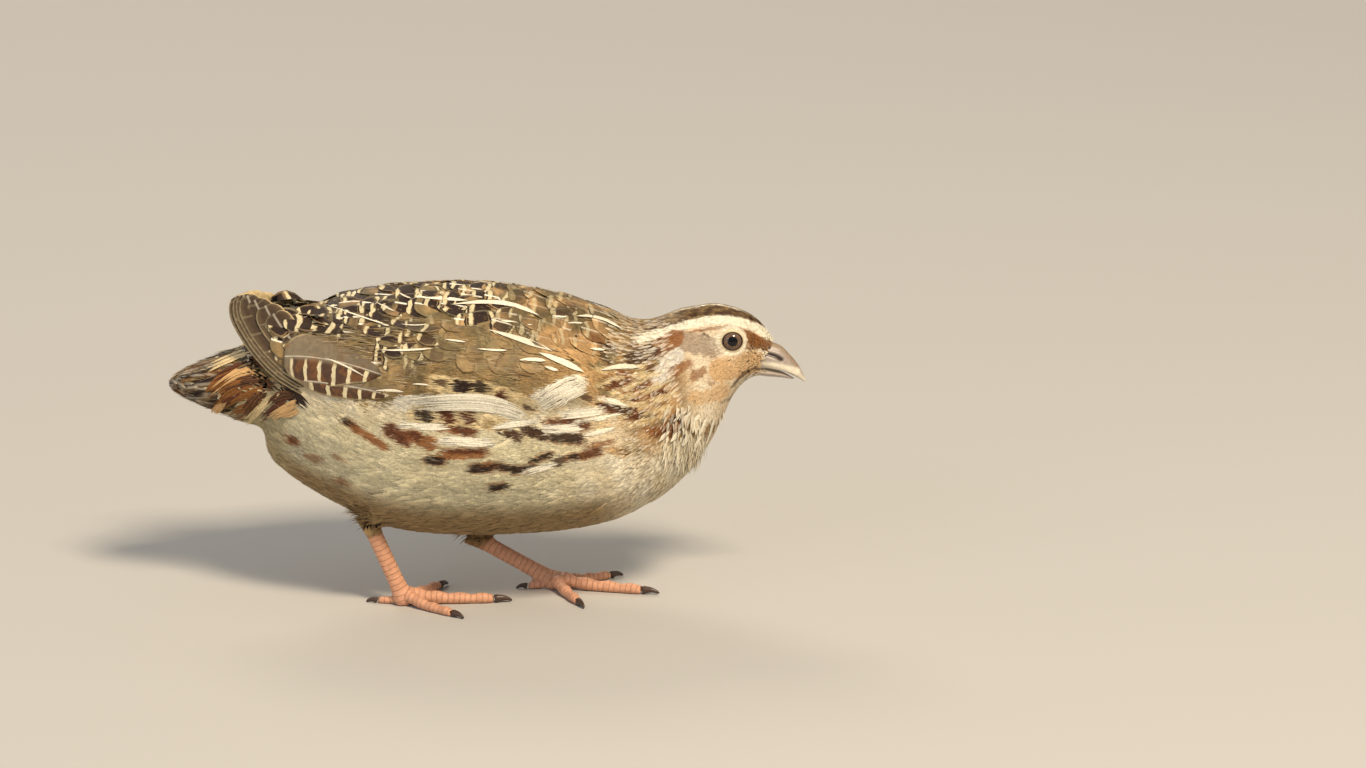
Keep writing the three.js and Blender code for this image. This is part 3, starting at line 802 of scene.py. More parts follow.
@dataclass
class Plumage:
    """Ground colours of the skin and coat, the lie of the coat and its depth."""

    envelope: Envelope
    field: BodyField
    eye_clear: float = 2.92
    hocks: tuple = ((-30.6, -11.9, 25.0), (-1.6, 10.3, 15.3))

    def __post_init__(self) -> None:
        """Prepares the search tree that tells the parts of the bird apart."""
        corners, faces, parts, owners = [], [], [], []
        for name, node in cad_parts.items():
            part = next((p for start, p in PART_OF_NODE.items() if name.startswith(start)), Part.BODY)
            node.data.calc_loop_triangles()
            base = sum(len(c) for c in corners)
            corners.append(coordinates(node.data))
            triangles = [[base + v for v in t.vertices] for t in node.data.loop_triangles]
            faces += triangles
            parts += [int(part)] * len(triangles)
            owners += [name] * len(triangles)
        self._parts, self._nodes = np.array(parts), np.array(owners)
        self._tree = BVHTree.FromPolygons(np.vstack(corners).tolist(), faces)
        self.sheet = self.envelope.sheet

    def part_of(self, points: np.ndarray) -> np.ndarray:
        """Part number of the nearest solid for each point."""
        return self._parts[[self._tree.find_nearest(p)[2] for p in points.tolist()]]

    def node_of(self, points: np.ndarray) -> np.ndarray:
        """Name of the nearest solid for each point."""
        return self._nodes[[self._tree.find_nearest(p)[2] for p in points.tolist()]]

    def survey(self, points: np.ndarray, normals: np.ndarray) -> Sites:
        """Gathers the body coordinates, sheet places and parts of points."""
        s, a = self.field.locate(points)
        return Sites(points, normals, s, a, self.sheet.place(points), self.part_of(points))

    def pool(self, count: int, marks: tuple[Stroke, ...] = ()) -> Sites:
        """Strews places evenly over the envelope, or only close to some marks.

        Args:
            count: How many places.
            marks: The marks to stay close to; none for the whole envelope.

        Returns:
            The places.
        """
        rng = np.random.default_rng(SEED)
        corners = self.envelope.points[self.envelope.triangles]
        first, second = corners[:, 1] - corners[:, 0], corners[:, 2] - corners[:, 0]
        area = np.linalg.norm(np.cross(first, second), axis=1)
        if marks:
            places = self.sheet.place(corners.mean(axis=1))
            close = sum(replace(mark, width=mark.width + 4.5).mask(places) for mark in marks)
            area = area * (close > 0)
        pick = rng.choice(len(area), count, p=area / area.sum())
        share = rng.dirichlet((1, 1, 1), count)[..., None]
        points = (corners[pick] * share).sum(axis=1)
        normals = unit((self.envelope.normals[self.envelope.triangles[pick]] * share).sum(axis=1))
        return self.survey(points, normals)

    def depth(self, sites: Sites) -> np.ndarray:
        """Tells how deep the coat is over the skin.

        Args:
            sites: Places on the envelope.

        Returns:
            One depth per place, in mm.
        """
        stations, depths = (0, 3, 8, 9.7, 11, 12.2, 13.2, 16), (4.6, 4.0, 3.8, 3.2, 2.4, 1.5, 0.9, 0.6)
        deep = np.interp(sites.s, stations, depths)
        deep = deep * (1 - 0.25 * smoothstep(0.6, 0.8, sites.a))
        eye = sites.points * [1, 0, 1] - np.array(EYE_CENTRE) * [1, 0, 1]
        deep = deep * (0.2 + 0.8 * smoothstep(3.2, 6.5, np.linalg.norm(eye, axis=1)))
        deep = np.where(sites.part == Part.WING, 1.4, deep)
        deep = np.where(sites.part == Part.THIGH, 1.3, deep)
        deep = np.where(sites.part == Part.BILL, 0.3, deep)
        return np.where(sites.part == Part.FOOT, 0.0, deep)

    def lie(self, sites: Sites) -> np.ndarray:
        """Finds the way in which the coat lies.

        Args:
            sites: Places on the envelope.

        Returns:
            One unit direction along the surface per place.
        """
        points, normals = sites.points, sites.normals
        x, h = sites.sheet.T
        base = self.field.tailward(points)
        side = np.sign(points[:, 1])
        step = WING_AXIS[1:] - WING_AXIS[:-1]
        middle = (WING_AXIS[1:, 0] + WING_AXIS[:-1, 0])[::-1] / 2
        wing = np.stack([np.interp(points[:, 0], middle, step[::-1, k]) for k in range(3)], axis=1)
        wing[:, 1] *= side
        on_wing = np.isin(sites.part, (Part.WING, Part.PRIMARIES))
        tail = np.array([-92.0, 0.0, 60.0]) - points * [1, 0.6, 1]
        on_tail = smoothstep(0.6, -0.2, sites.s) * (sites.part == Part.TAIL)
        base = blend(base, unit(tail), on_tail)
        base = np.where(on_wing[:, None], unit(wing), base)
        up = np.array([0.0, 0.0, 1.0]) - normals * normals[:, 2:3]
        rise = 0.62 * smoothstep(-8, -34, x) * smoothstep(0.12, 0.3, sites.a) * (sites.a < 0.7)
        rise = rise * (sites.s > 0.2) + 0.22 * smoothstep(0.66, 0.78, sites.a) * (sites.s < 9)
        under_wing = smoothstep(-14, -8, h) * smoothstep(-30, -10, x) * (x < 36) * (h < 2)
        rise = rise + 0.35 * under_wing * (sites.a > 0.4)
        hang = smoothstep(49, 57, x) * smoothstep(-1, -8, h) * smoothstep(74, 66, x)
        rise = np.where(on_wing, 0.0, rise - 1.5 * hang)
        rise = rise - 0.18 * smoothstep(11.5, 12.5, sites.s) * smoothstep(8, 2, h)
        way = base + up * rise[:, None]
        from_eye = points - np.array(EYE_CENTRE)
        from_eye[:, 1] = points[:, 1] - EYE_CENTRE[1] * side
        shy = 1.4 * smoothstep(8.0, 4.2, np.linalg.norm(from_eye, axis=1))
        way = way + unit(from_eye) * shy[:, None]
        way = way - normals * (way * normals).sum(axis=1, keepdims=True)
        return unit(way)

    def clear_eyes(self, points: np.ndarray) -> np.ndarray:
        """Pushes coat points out of the two eye openings.

        Args:
            points: Rows of x, y, z in millimetres.

        Returns:
            The moved rows.
        """
        for side in (-1.0, 1.0):
            axis = Eye(side).axis
            away = points - np.array(EYE_CENTRE) * [1, side, 1]
            along = away @ axis
            flat = away - along[:, None] * axis
            gap = np.linalg.norm(flat, axis=1)
            move = np.where((along > 0) & (gap < self.eye_clear), self.eye_clear - gap, 0.0)
            points = points + unit(flat) * move[:, None]
        return points

    def tone(self, points: np.ndarray, part: np.ndarray | None = None) -> np.ndarray:
        """Ground colour of the skin and coat at points, in linear light, with painted shade under the belly
        and at the hocks.

        Args:
            points: Rows of x, y, z in millimetres.
            part: Part number of each, where it is known.

        Returns:
            One colour per point.
        """
        s, a = self.field.locate(points)
        sheet = self.sheet.place(points)
        x, h = sheet.T
        part = np.zeros(len(points), int) if part is None else part
        fine, coarse, grain = ripple(points, 2.4, 3), ripple(points, 8.0, 5), ripple(points, 1.5, 11)
        tone = blend(Tint.CREAM, Tint.PALE_BUFF, 0.15 + 0.6 * coarse)
        tone = blend(tone, Tint.FLANK, 0.85 * smoothstep(9.4, 7.2, s) * smoothstep(0.66, 0.42, a))
        tone = blend(tone, Tint.BUFF, 0.5 * smoothstep(7.5, 9.5, s) * smoothstep(0.35, 0.6, a))
        # Painted shade: the underside of the belly darkens to brown, as in the shadow of the body.
        tone = blend(tone, Tint.SHADE_DOWN, 0.9 * smoothstep(0.25, 0.12, a) * smoothstep(9.8, 8.4, s))
        tone = blend(tone, Tint.DOWN, 0.8 * smoothstep(2.6, 1.2, s) * smoothstep(0.75, 0.6, a))
        tone = self._upper(tone, s, a, x, fine, coarse)
        tone = self._head(tone, s, points, sheet, fine, coarse)
        wing = np.isin(part, (Part.WING, Part.PRIMARIES)).astype(float)
        olive = blend(Tint.GREY_SAND, Tint.SAND, smoothstep(0.35, 0.6, coarse))
        olive = blend(olive, Tint.UMBER, 0.4 * smoothstep(0.6, 0.75, fine))
        tone = blend(tone, blend(olive, Tint.BUFF, 0.6 * smoothstep(5, 32, x)), wing)
        # The thighs take the dusky brown: their own darker feathers, with painted shade under the belly.
        tone = blend(tone, Tint.SHADE_DOWN, 0.75 * (part == Part.THIGH))
        band = ((h - 0.4 * x) / 3.7 + 0.5 * ripple(points, 9.0, 21)) % 1.0
        stripe = blend(Tint.SAND, Tint.OCHRE, smoothstep(0.22, 0.34, band) * (0.6 + 0.4 * coarse))
        stripe = blend(stripe, Tint.BLACK_BROWN, smoothstep(0.52, 0.6, band) * smoothstep(0.98, 0.9, band))
        tone = blend(tone, 0.85 * stripe, (part == Part.TAIL) * smoothstep(-55, -60, x))
        for mark in (*MARKS, *NECK_MARKS, *FLANK_MARKS):
            if mark.tint in (Tint.BLACK_BROWN, Tint.CHESTNUT):
                halo = replace(mark, width=mark.width + 1.2, soft=0.8, strength=0.7)
                tone = blend(tone, Tint.RUFOUS, halo.ragged(sheet, grain) * (1 - wing))
            tone = blend(tone, mark.tint, mark.ragged(sheet, grain) * (1 - wing))
        for mark in (EYE_RING, *BACK_MARKS, *BAR_MARKS):
            tone = blend(tone, mark.tint, mark.ragged(sheet, grain))
        # Painted shade: near the hocks the shanks turn dusky brown, as the feathered joint in shadow.
        hock = np.min([np.linalg.norm(points - place, axis=1) for place in self.hocks], axis=0)
        leg = blend(Tint.LEG, Tint.SHADE_DOWN, smoothstep(5.5, 3.5, hock))
        return blend(tone, leg, (part == Part.FOOT).astype(float))

    @staticmethod
    def _upper(
        tone: np.ndarray, s: np.ndarray, a: np.ndarray, x: np.ndarray,
        fine: np.ndarray, coarse: np.ndarray,
    ) -> np.ndarray:
        """Colours the mantle, the neck and the nape.

        Args:
            tone: The colours so far.
            s: Station number of each place.
            a: Height share of each place.
            x: Place along the sheet.
            fine: Fine mottling.
            coarse: Coarse mottling.

        Returns:
            The new colours.
        """
        mantle = smoothstep(0.60, 0.72, a) * smoothstep(11.2, 9.8, s)
        sandy = blend(Tint.GREY_SAND, Tint.BUFF, 0.75 * smoothstep(0.45, 0.7, coarse))
        tone = blend(tone, sandy, mantle) * (1 - 0.4 * mantle * smoothstep(-5, -30, x))[:, None]
        neck = smoothstep(9.2, 10.2, s) * smoothstep(12.4, 11.4, s)
        warm = blend(Tint.BUFF, Tint.SAND, smoothstep(0.4, 0.6, coarse))
        tone = blend(tone, warm, 0.9 * neck * smoothstep(0.26, 0.42, a))
        streaky = smoothstep(0.54, 0.72, fine) * smoothstep(0.30, 0.5, a)
        tone = blend(tone, Tint.RUFOUS, 0.6 * neck * streaky) * (1 - 0.12 * neck)[:, None]
        nape = neck * smoothstep(0.66, 0.84, a)
        return blend(tone, blend(Tint.SAND, Tint.UMBER, smoothstep(0.45, 0.6, fine)), 0.8 * nape)

    @staticmethod
    def _head(
        tone: np.ndarray, s: np.ndarray, points: np.ndarray, sheet: np.ndarray,
        fine: np.ndarray, coarse: np.ndarray,
    ) -> np.ndarray:
        """Colours the face and the crown with its pale middle line.

        Args:
            tone: The colours so far.
            s: Station number of each place.
            points: Rows of x, y, z in millimetres.
            sheet: Rows of x and h.
            fine: Fine mottling.
            coarse: Coarse mottling.

        Returns:
            The new colours.
        """
        head = smoothstep(11.3, 12.3, s)
        crown = head * smoothstep(0.8, 1.2, over_brow(sheet))
        tone = blend(tone, blend(Tint.CREAM, Tint.CHEEK, 0.25 + 0.35 * coarse), head)
        pied = blend(Tint.SAND, Tint.UMBER, 0.2 + 0.7 * smoothstep(0.42, 0.6, fine))
        tone = blend(tone, pied, crown)
        middle = smoothstep(0.9, 0.4, np.abs(points[:, 1])) * smoothstep(76, 70, sheet[:, 0])
        return blend(tone, Tint.CREAM, crown * middle)


# Feathers


class Outline(Enum):
    """Shapes of a vane seen from above."""

    ROUND = "round"
    LANCE = "lance"
    BLADE = "blade"
    WISP = "wisp"
    SPINDLE = "spindle"

    def half(self, t: np.ndarray) -> np.ndarray:
        """Gives the half width along the vane.

        Args:
            t: Place along the vane, 0 root to 1 tip.

        Returns:
            Shares of the greatest half width.
        """
        if self is Outline.ROUND:
            rise = 0.35 + 0.65 * smoothstep(0.0, 0.5, t)
            return rise * np.sqrt(np.clip(1 - (np.clip(t - 0.62, 0, 1) / 0.39) ** 2, 0.02, 1))
        if self is Outline.LANCE:
            return (0.4 + 0.6 * smoothstep(0.0, 0.35, t)) * (1 - smoothstep(0.4, 1.02, t)) ** 0.8
        if self is Outline.BLADE:
            rise = 0.55 + 0.45 * smoothstep(0.0, 0.4, t)
            return rise * np.sqrt(np.clip(1 - (np.clip(t - 0.80, 0, 1) / 0.205) ** 2, 0.02, 1))
        if self is Outline.SPINDLE:
            return np.sin(np.pi * np.clip(t, 0.03, 0.98) ** 0.85) ** 0.75
        return (0.55 + 0.45 * smoothstep(0.0, 0.3, t)) * (1 - t**2 * 0.92)


@dataclass(frozen=True)
class Vane:
    """How feathers of one kind are built: sizes in mm, angles as shares of a radian."""

    outline: Outline = Outline.WISP
    stations: int = 2
    across: int = 3
    thickness: float = 0.14
    camber: float = 0.1
    sweep: float = 0.0
    ragged: float = 0.12
    fit: bool = False
    follow: float = 0.35
    patch: float = 0.003
    root_shade: float = 0.62
    own_tone: bool = True
    soft_normals: bool = True
    clear: float = 0.0
    lean: float = 0.06
    loose: float = 0.0

    @property
    def triangles(self) -> int:
        """Triangles of one feather."""
        return 2 * self.across * self.stations

    @property
    def steps(self) -> np.ndarray:
        """Where the stations stand, closer together towards a round tip.

        Returns:
            Shares of the length, 0 root to 1 tip.
        """
        even = np.linspace(0.0, 1.0, self.stations + 2)[1:-1]
        rings = 1 - (1 - even) ** 1.7 if self.outline in (Outline.ROUND, Outline.BLADE) else even**0.8
        return np.concatenate([[0.0], rings, [1.0]])


@dataclass
class Crop:
    """Feathers of one tract, one row for each."""

    sites: Sites
    aim: np.ndarray
    length: np.ndarray
    width: np.ndarray
    sink: np.ndarray
    lift: np.ndarray
    tint: np.ndarray
    mix: np.ndarray
    shade: np.ndarray
    marks: np.ndarray
    edge: np.ndarray

    def take(self, which: np.ndarray) -> "Crop":
        """The chosen rows."""
        return Crop(*(v.take(which) if isinstance(v, Sites) else v[which] for v in vars(self).values()))


@dataclass
class Track:
    """Centre lines of feathers: places and surface normals at each station."""

    places: np.ndarray
    normals: np.ndarray


def paint(mesh: bpy.types.Mesh, name: str, rows: np.ndarray) -> None:
    """Stores three or four channels at each vertex.

    Args:
        mesh: The mesh.
        name: Name of the colour attribute.
        rows: One row per vertex.
    """
    channels = np.ones((len(rows), 4), np.float32)
    channels[:, : rows.shape[1]] = rows
    layer = mesh.attributes.new(name, "FLOAT_COLOR", "POINT")
    layer.data.foreach_set("color", channels.ravel())


@dataclass
class Forge:
    """Builds whole tracts of closed feathers as one joined mesh each."""

    plumage: Plumage
    triangles: int = 0

    def walk(self, crop: Crop, t: np.ndarray, follow: float) -> Track:
        """Steps the centre lines along the envelope from the roots.

        Args:
            crop: The feathers.
            t: Where the stations stand, 0 root to 1 tip.
            follow: How far the lines turn to the body's own lie.

        Returns:
            The centre lines.
        """
        place, normal, way = crop.sites.points, crop.sites.normals, crop.aim
        places, normals = [place], [normal]
        for step in np.diff(t):
            place, normal = self.plumage.envelope.settle(place + way * (crop.length * step)[:, None])
            if follow:
                along = self.plumage.field.tailward(place)
                way = blend(way, along, np.full(len(place), follow * step * 2))
            way = unit(way - normal * (way * normal).sum(axis=1, keepdims=True))
            places.append(place)
            normals.append(normal)
        return Track(np.stack(places, axis=1), np.stack(normals, axis=1))

    def grow(self, crop: Crop, vane: Vane, name: str, track: Track | None = None) -> bpy.types.Object:
        """Builds one closed feather for each row of a crop.

        Args:
            crop: Where the feathers root and how large and coloured they are.
            vane: How each is built.
            name: Name of the new object.
            track: Centre lines to use in place of a walk over the envelope.

        Returns:
            The joined mesh object.
        """
        count, rng = len(crop.length), np.random.default_rng(SEED + len(name) + len(crop.length))
        t = vane.steps
        track = track or self.walk(crop, t, vane.follow)
        centre, normal = track.places, track.normals
        if vane.loose:
            straight = centre[:, :1] + crop.aim[:, None] * (crop.length[:, None] * t)[..., None]
            centre = blend(centre, straight, np.broadcast_to(vane.loose * t**2, centre.shape[:2]))
        along = unit(np.gradient(centre, axis=1))
        across = unit(np.cross(normal, along))
        u = np.sin(np.linspace(-math.pi / 2, math.pi / 2, vane.across))
        half = crop.width[:, None] / 2 * vane.outline.half(t)[None]
        half = half[..., None] * (1 + vane.ragged * rng.normal(size=(count, len(t), vane.across)))
        height = crop.lift[:, None] * t**2 - crop.sink[:, None] * (1 - t) ** 2 + vane.clear
        lean = rng.normal(0, vane.lean, (count, 1, 1))
        side = half * u
        slide = vane.sweep * np.abs(side)
        places = centre[:, :, None] + across[:, :, None] * side[..., None]
        places = places + along[:, :, None] * slide[..., None]
        faces_out = np.broadcast_to(normal[:, :, None], places.shape)
        if vane.fit:
            flat, out = self.plumage.envelope.settle(places.reshape(-1, 3))
            fitted, out = flat.reshape(places.shape), out.reshape(places.shape)
            share = (u + 1)[:, None] / 2
            chord = fitted[:, :, :1] * (1 - share) + fitted[:, :, -1:] * share
            sag = ((chord - fitted) * out).sum(axis=3) - vane.thickness * (1 - u**2)
            hollow = (sag.reshape(count, -1).max(axis=1) > 0.01)[:, None, None, None]
            places, faces_out = np.where(hollow, places, fitted), np.where(hollow, faces_out, out)
        rise = height[..., None] + vane.thickness * (1 - u**2) - vane.camber * half * u**2 + lean * side
        places = places + faces_out * rise[..., None]
        inner = slice(1, -1)
        ring = places[:, inner].reshape(count, -1, 3)
        tips = places[:, [0, -1], vane.across // 2]
        points = np.concatenate([ring, tips], axis=1)
        facing = faces_out + across[:, :, None] * (0.4 * u[None, None, :, None])
        out_ring = facing[:, inner].reshape(count, -1, 3)
        out = unit(np.concatenate([out_ring, normal[:, [0, -1]]], axis=1))
        middle = np.zeros((count, len(t), vane.across)) + u
        share = np.broadcast_to(t[None, :, None], middle.shape)
        gap = (1 - share) * crop.length[:, None, None] + rng.uniform(-1.0, 1.0, (count, 1, 1))

        def spread(grid: np.ndarray) -> np.ndarray:
            """The values of a grid in the order of the points."""
            ends = grid[:, [0, -1], vane.across // 2]
            return np.concatenate([grid[:, inner].reshape(count, -1), ends], axis=1)

        flat = points.reshape(-1, 3)
        moved = np.linalg.norm(self.plumage.clear_eyes(flat) - flat, axis=1)
        keep = moved.reshape(count, -1).max(axis=1) < 0.2
        grids = (points, *map(spread, (middle, share, side, gap)), out)
        return self._weave(name, crop.take(keep), vane, *(grid[keep] for grid in grids))

    def _weave(
        self,
        name: str,
        crop: Crop,
        vane: Vane,
        points: np.ndarray,
        u: np.ndarray,
        t: np.ndarray,
        side: np.ndarray,
        gap: np.ndarray,
        out: np.ndarray,
    ) -> bpy.types.Object:
        """Joins the points of all feathers into one mesh with colours and maps.

        Args:
            name: Name of the new object.
            crop: The feathers.
            vane: How each is built.
            points: Places of the vertices, a row for each feather.
            u: Place across the vane, -1 to 1.
            t: Place along it, 0 root to 1 tip.
            side: Millimetres from the shaft.
            gap: Millimetres from the tip.
            out: Directions for the soft normals.

        Returns:
            The joined mesh object.
        """
        count, each = points.shape[:2]
        m, k = vane.across, vane.stations
        root, tip = k * m, k * m + 1
        turn = [(j, (j + 1) % m) for j in range(m)]
        tris = [(root, a, b) for a, b in turn] + [(tip, (k - 1) * m + b, (k - 1) * m + a) for a, b in turn]
        rings = range(0, (k - 1) * m, m)
        quads = [(i + b, i + a, i + m + a, i + m + b) for i in rings for a, b in turn]
        one = np.array([v for f in tris + quads for v in f])
        starts = np.cumsum([0] + [len(f) for f in tris + quads])
        base = (np.arange(count) * each)[:, None]
        loops = (base + one[None]).reshape(-1)
        begins = (np.arange(count)[:, None] * starts[-1] + starts[None, :-1]).reshape(-1)
        mesh = bpy.data.meshes.new(name)
        flat = self.plumage.clear_eyes(points.reshape(-1, 3))
        mesh.vertices.add(len(flat))
        mesh.vertices.foreach_set("co", ((flat - [DATUM_SHIFT, 0, 0]) * MM).ravel())
        mesh.loops.add(len(loops))
        mesh.loops.foreach_set("vertex_index", loops)
        mesh.polygons.add(len(begins))
        mesh.polygons.foreach_set("loop_start", begins)
        mesh.polygons.foreach_set("use_smooth", np.ones(len(begins), bool))
        mesh.update(calc_edges=True)
        if vane.soft_normals:
            mesh.normals_split_custom_set_from_vertices(out.reshape(-1, 3))
        colour = np.repeat(crop.tint[:, None], each, axis=1)
        if vane.own_tone and vane.outline is Outline.WISP:
            spot = flat.reshape(count, each, 3)[:, int(0.6 * k) * m + m // 2]
            own = self.plumage.tone(spot, crop.sites.part)[:, None]
            colour = blend(own, colour, np.repeat(crop.mix[:, None], each, axis=1))
        elif vane.own_tone:
            part = np.repeat(crop.sites.part, each)
            own = self.plumage.tone(flat, part).reshape(count, each, 3)
            colour = blend(own, colour, np.repeat(crop.mix[:, None], each, axis=1))
        else:
            margin = crop.marks[:, 3:4] * smoothstep(0.84, 1.0, np.abs(u))
            colour = blend(colour, np.repeat(crop.edge[:, None], each, axis=1), margin)
        # Painted shade: each feather darkens towards its root, where it lies under its neighbours.
        dim = vane.root_shade + (1 - vane.root_shade) * smoothstep(0.0, 0.55, t)
        colour = colour * (dim * crop.shade[:, None])[..., None]
        paint(mesh, "Tone", colour.reshape(-1, 3))
        paint(mesh, "Marks", np.repeat(crop.marks, each, axis=0))
        paint(mesh, "Edge", np.repeat(crop.edge, each, axis=0))
        seen = mesh.attributes.new("Across", "FLOAT", "POINT")
        hand = -np.sign(crop.sites.points[:, 1])[:, None]
        seen.data.foreach_set("value", (u * hand).reshape(-1).astype(np.float32))
        sites = crop.sites
        angle = np.arctan2(sites.points[:, 1], sites.points[:, 2] - np.interp(sites.s, (0, 16), (58, 72)))
        home = np.stack([0.03 + 0.94 * np.clip(sites.s / 16.5, -0.02, 1), 0.5 + 0.46 * angle / math.pi], 1)
        bake = home[:, None] + np.stack([u * 0.5, t - 0.5], axis=2) * vane.patch
        places = np.stack([side, gap], axis=2)
        for title, grid in (("OFBake", bake), ("Vane", places)):
            layer = mesh.uv_layers.new(name=title)
            layer.data.foreach_set("uv", grid.reshape(-1, 2)[loops].ravel().astype(np.float32))
        self.triangles += count * vane.triangles
        piece = bpy.data.objects.new(name, mesh)
        bpy.context.scene.collection.objects.link(piece)
        return piece


class Region(Enum):
    """Feather tracts of the bird."""

    CROWN = "crown"
    FACE = "face"
    NECK = "neck"
    HACKLE = "hackle"
    BREAST = "breast"
    FLANK = "flank"
    BELLY = "belly"
    VENT = "vent"
    MANTLE = "mantle"
    RUMP = "rump"
    COVERT = "covert"
    TAIL = "tail"
    THIGH = "thigh"
    MARKED = "marked"
    LID = "lid"

    def holds(self, sites: Sites) -> np.ndarray:
        """Tells which sites lie in the tract.

        Args:
            sites: Places on the envelope.

        Returns:
            True for each site inside.
        """
        s, a, (x, h) = sites.s, sites.a, sites.sheet.T
        body = sites.part == Part.BODY
        over = over_brow(sites.sheet)
        if self is Region.CROWN:
            return body & (s > 11.7) & (over > 0.9)
        if self is Region.FACE:
            cere = (x < 69.6 + h) & (h > 4.4) | (h < 3.8) & (x < 80.5)
            return (body | (sites.part == Part.BILL) & cere) & (s > 11.7) & (over <= 1.1)
        if self is Region.NECK:
            return body & (s > 9.5) & (s <= 11.9)
        if self is Region.HACKLE:
            return body & (x > 54) & (x < 71) & (h < -4) & (h > -20) & (s > 9.3) & (s < 12.2)
        if self is Region.BREAST:
            return body & (s > 7.6) & (s <= 9.8) & (a < 0.82)
        if self is Region.FLANK:
            return body & (s > 2.1) & (s <= 7.9) & (a > 0.12) & (a <= 0.80) & (h < 6)
        if self is Region.BELLY:
            return body & (s > 2.1) & (s <= 9.6) & (a <= 0.15)
        if self is Region.VENT:
            return body & (s <= 2.3) & (a <= 0.66)
        if self is Region.MANTLE:
            return body & (s > 1.4) & (s <= 9.8) & (a > 0.60) & (h > 4 + 0.35 * np.clip(x - 20, 0, 20))
        if self is Region.RUMP:
            return body & (s <= 1.6) & (a > 0.58)
        if self is Region.COVERT:
            front = (x > 20) & (h < 4 + 0.4 * (x - 20))
            front = front | (x < -20) & (h < 1) | (x < -38) & (h > 15)
            fan = (sites.part == Part.PRIMARIES) & (x > -44) & (h < 15)
            return (sites.part == Part.WING) & ~front | fan
        if self is Region.TAIL:
            return sites.part == Part.TAIL
        if self is Region.LID:
            gap = np.hypot(x - EYE_PLACE[0], h - EYE_PLACE[1])
            return body & (gap < 4.9) & (np.abs(sites.points[:, 1]) > 4)
        if self is Region.MARKED:
            return body & (s > 0.8) & (s < 11.7) | (sites.part == Part.WING) & (h < 5)
        return sites.part == Part.THIGH


@dataclass(frozen=True)
class Tract:
    """One layer of feathers over one region: lengths in mm, shares of one."""

    name: str
    slot: str
    region: Region
    spacing: float
    length: float
    width: float
    vane: Vane = Vane()
    lift: float = 0.15
    sink: float = 1.0
    stray: float = 0.12
    vary: float = 0.18
    tint: Tint = Tint.CREAM
    mix: float = 0.0
    patchy: float = 0.0
    marks: tuple[float, float, float, float] = (0.0, 0.0, 0.0, 0.0)
    floor: float = 0.35

    def plant(self, plumage: Plumage, pool: Sites) -> Crop:
        """Chooses the roots and gives each feather its size, lie and colour.

        Args:
            plumage: The coat's lie, depth and colours.
            pool: Places to choose from.

        Returns:
            The feathers of this tract.
        """
        rng = np.random.default_rng(SEED + sum(map(ord, self.name)))
        sites = pool.take(self.region.holds(pool)).spaced(self.spacing, SEED + len(self.name))
        mirrored = sites.points * [1, 0, 1] + np.abs(sites.points) * [0, 1, 0] - np.array(EYE_CENTRE)
        gap = np.linalg.norm(np.cross(mirrored, Eye(1.0).axis), axis=1)
        sites = sites.take((gap > EYE_BARE) | (np.abs(sites.points[:, 1]) < 4))
        if self.region is Region.COVERT and self.vane.outline is Outline.ROUND:
            x, h = sites.sheet.T
            over_tertial = (x < -20) & (x > -42) & (h < 13.5)
            sites = sites.take(((h > 2.5) | (x < -16)) & ~over_tertial)
        count = len(sites.s)
        aim = plumage.lie(sites)
        swing = rng.normal(0, self.stray, count)[:, None]
        aim = aim * np.cos(swing) + np.cross(sites.normals, aim) * np.sin(swing)
        size = 1 + self.vary * rng.normal(size=count).clip(-1.8, 1.8)
        small = np.ones(count)
        if self.region in (Region.CROWN, Region.FACE):
            small = np.interp(sites.s, (11.7, 13, 14.4, 16), (1, 0.9, 0.7, 0.42))
        chosen = rng.random(count) < self.patchy if self.patchy else np.ones(count, bool)
        mark = np.array(self.marks)[None] * rng.uniform(0.6, 1.1, (count, 4))
        if self.region in (Region.MANTLE, Region.RUMP, Region.COVERT):
            x, h = sites.sheet.T
            calm = 0.8 * smoothstep(6.5, 4.0, np.hypot((x - 25) / 1.6, h - 11))
            rich = 0.25 + 0.75 * smoothstep(28, 14, x) * (1 - calm)
            if self.region is Region.COVERT:
                rich = smoothstep(2, -10, x) * smoothstep(1, 6, h)
            full = np.array([1.0, 1.0, 1.0, 0.05]) * (rng.random((count, 4)) < [0.76, 0.85, 0.4, 1.0])
            mark = blend(mark * 0.3, full, rich)
        uneven = 0.06 if self.region is Region.FACE else 0.12
        return Crop(
            sites=sites,
            aim=aim,
            length=self.length * size * small,
            width=self.width * small * (1 + 0.12 * rng.normal(size=count).clip(-2, 2)),
            sink=np.maximum(plumage.depth(sites) * self.sink, self.floor),
            lift=self.lift * (0.4 + 1.2 * rng.random(count)),
            tint=np.broadcast_to(self.tint.rgb, (count, 3)),
            mix=np.where(chosen, self.mix * rng.uniform(0.4, 1.0, count), 0.0),
            shade=1 + uneven * rng.normal(size=count).clip(-1.6, 1.6),
            marks=np.clip(mark, 0, 1),
            edge=np.broadcast_to(Tint.CREAM.rgb, (count, 3)),
        )


TUFT = Vane(Outline.LANCE, stations=3, across=3, thickness=0.06, ragged=0.08, root_shade=0.95)
PLUME = Vane(Outline.LANCE, stations=6, across=5, thickness=0.08, camber=0.08, ragged=0.10, root_shade=0.95)
BARB = Vane(Outline.WISP, stations=3, across=3, thickness=0.05, ragged=0.05, root_shade=0.96)
ROUNDED = Vane(Outline.ROUND, stations=7, across=7, thickness=0.08, camber=0.02, ragged=0.02)
SCALE = replace(ROUNDED, fit=True, follow=0.0, root_shade=0.92, soft_normals=False)

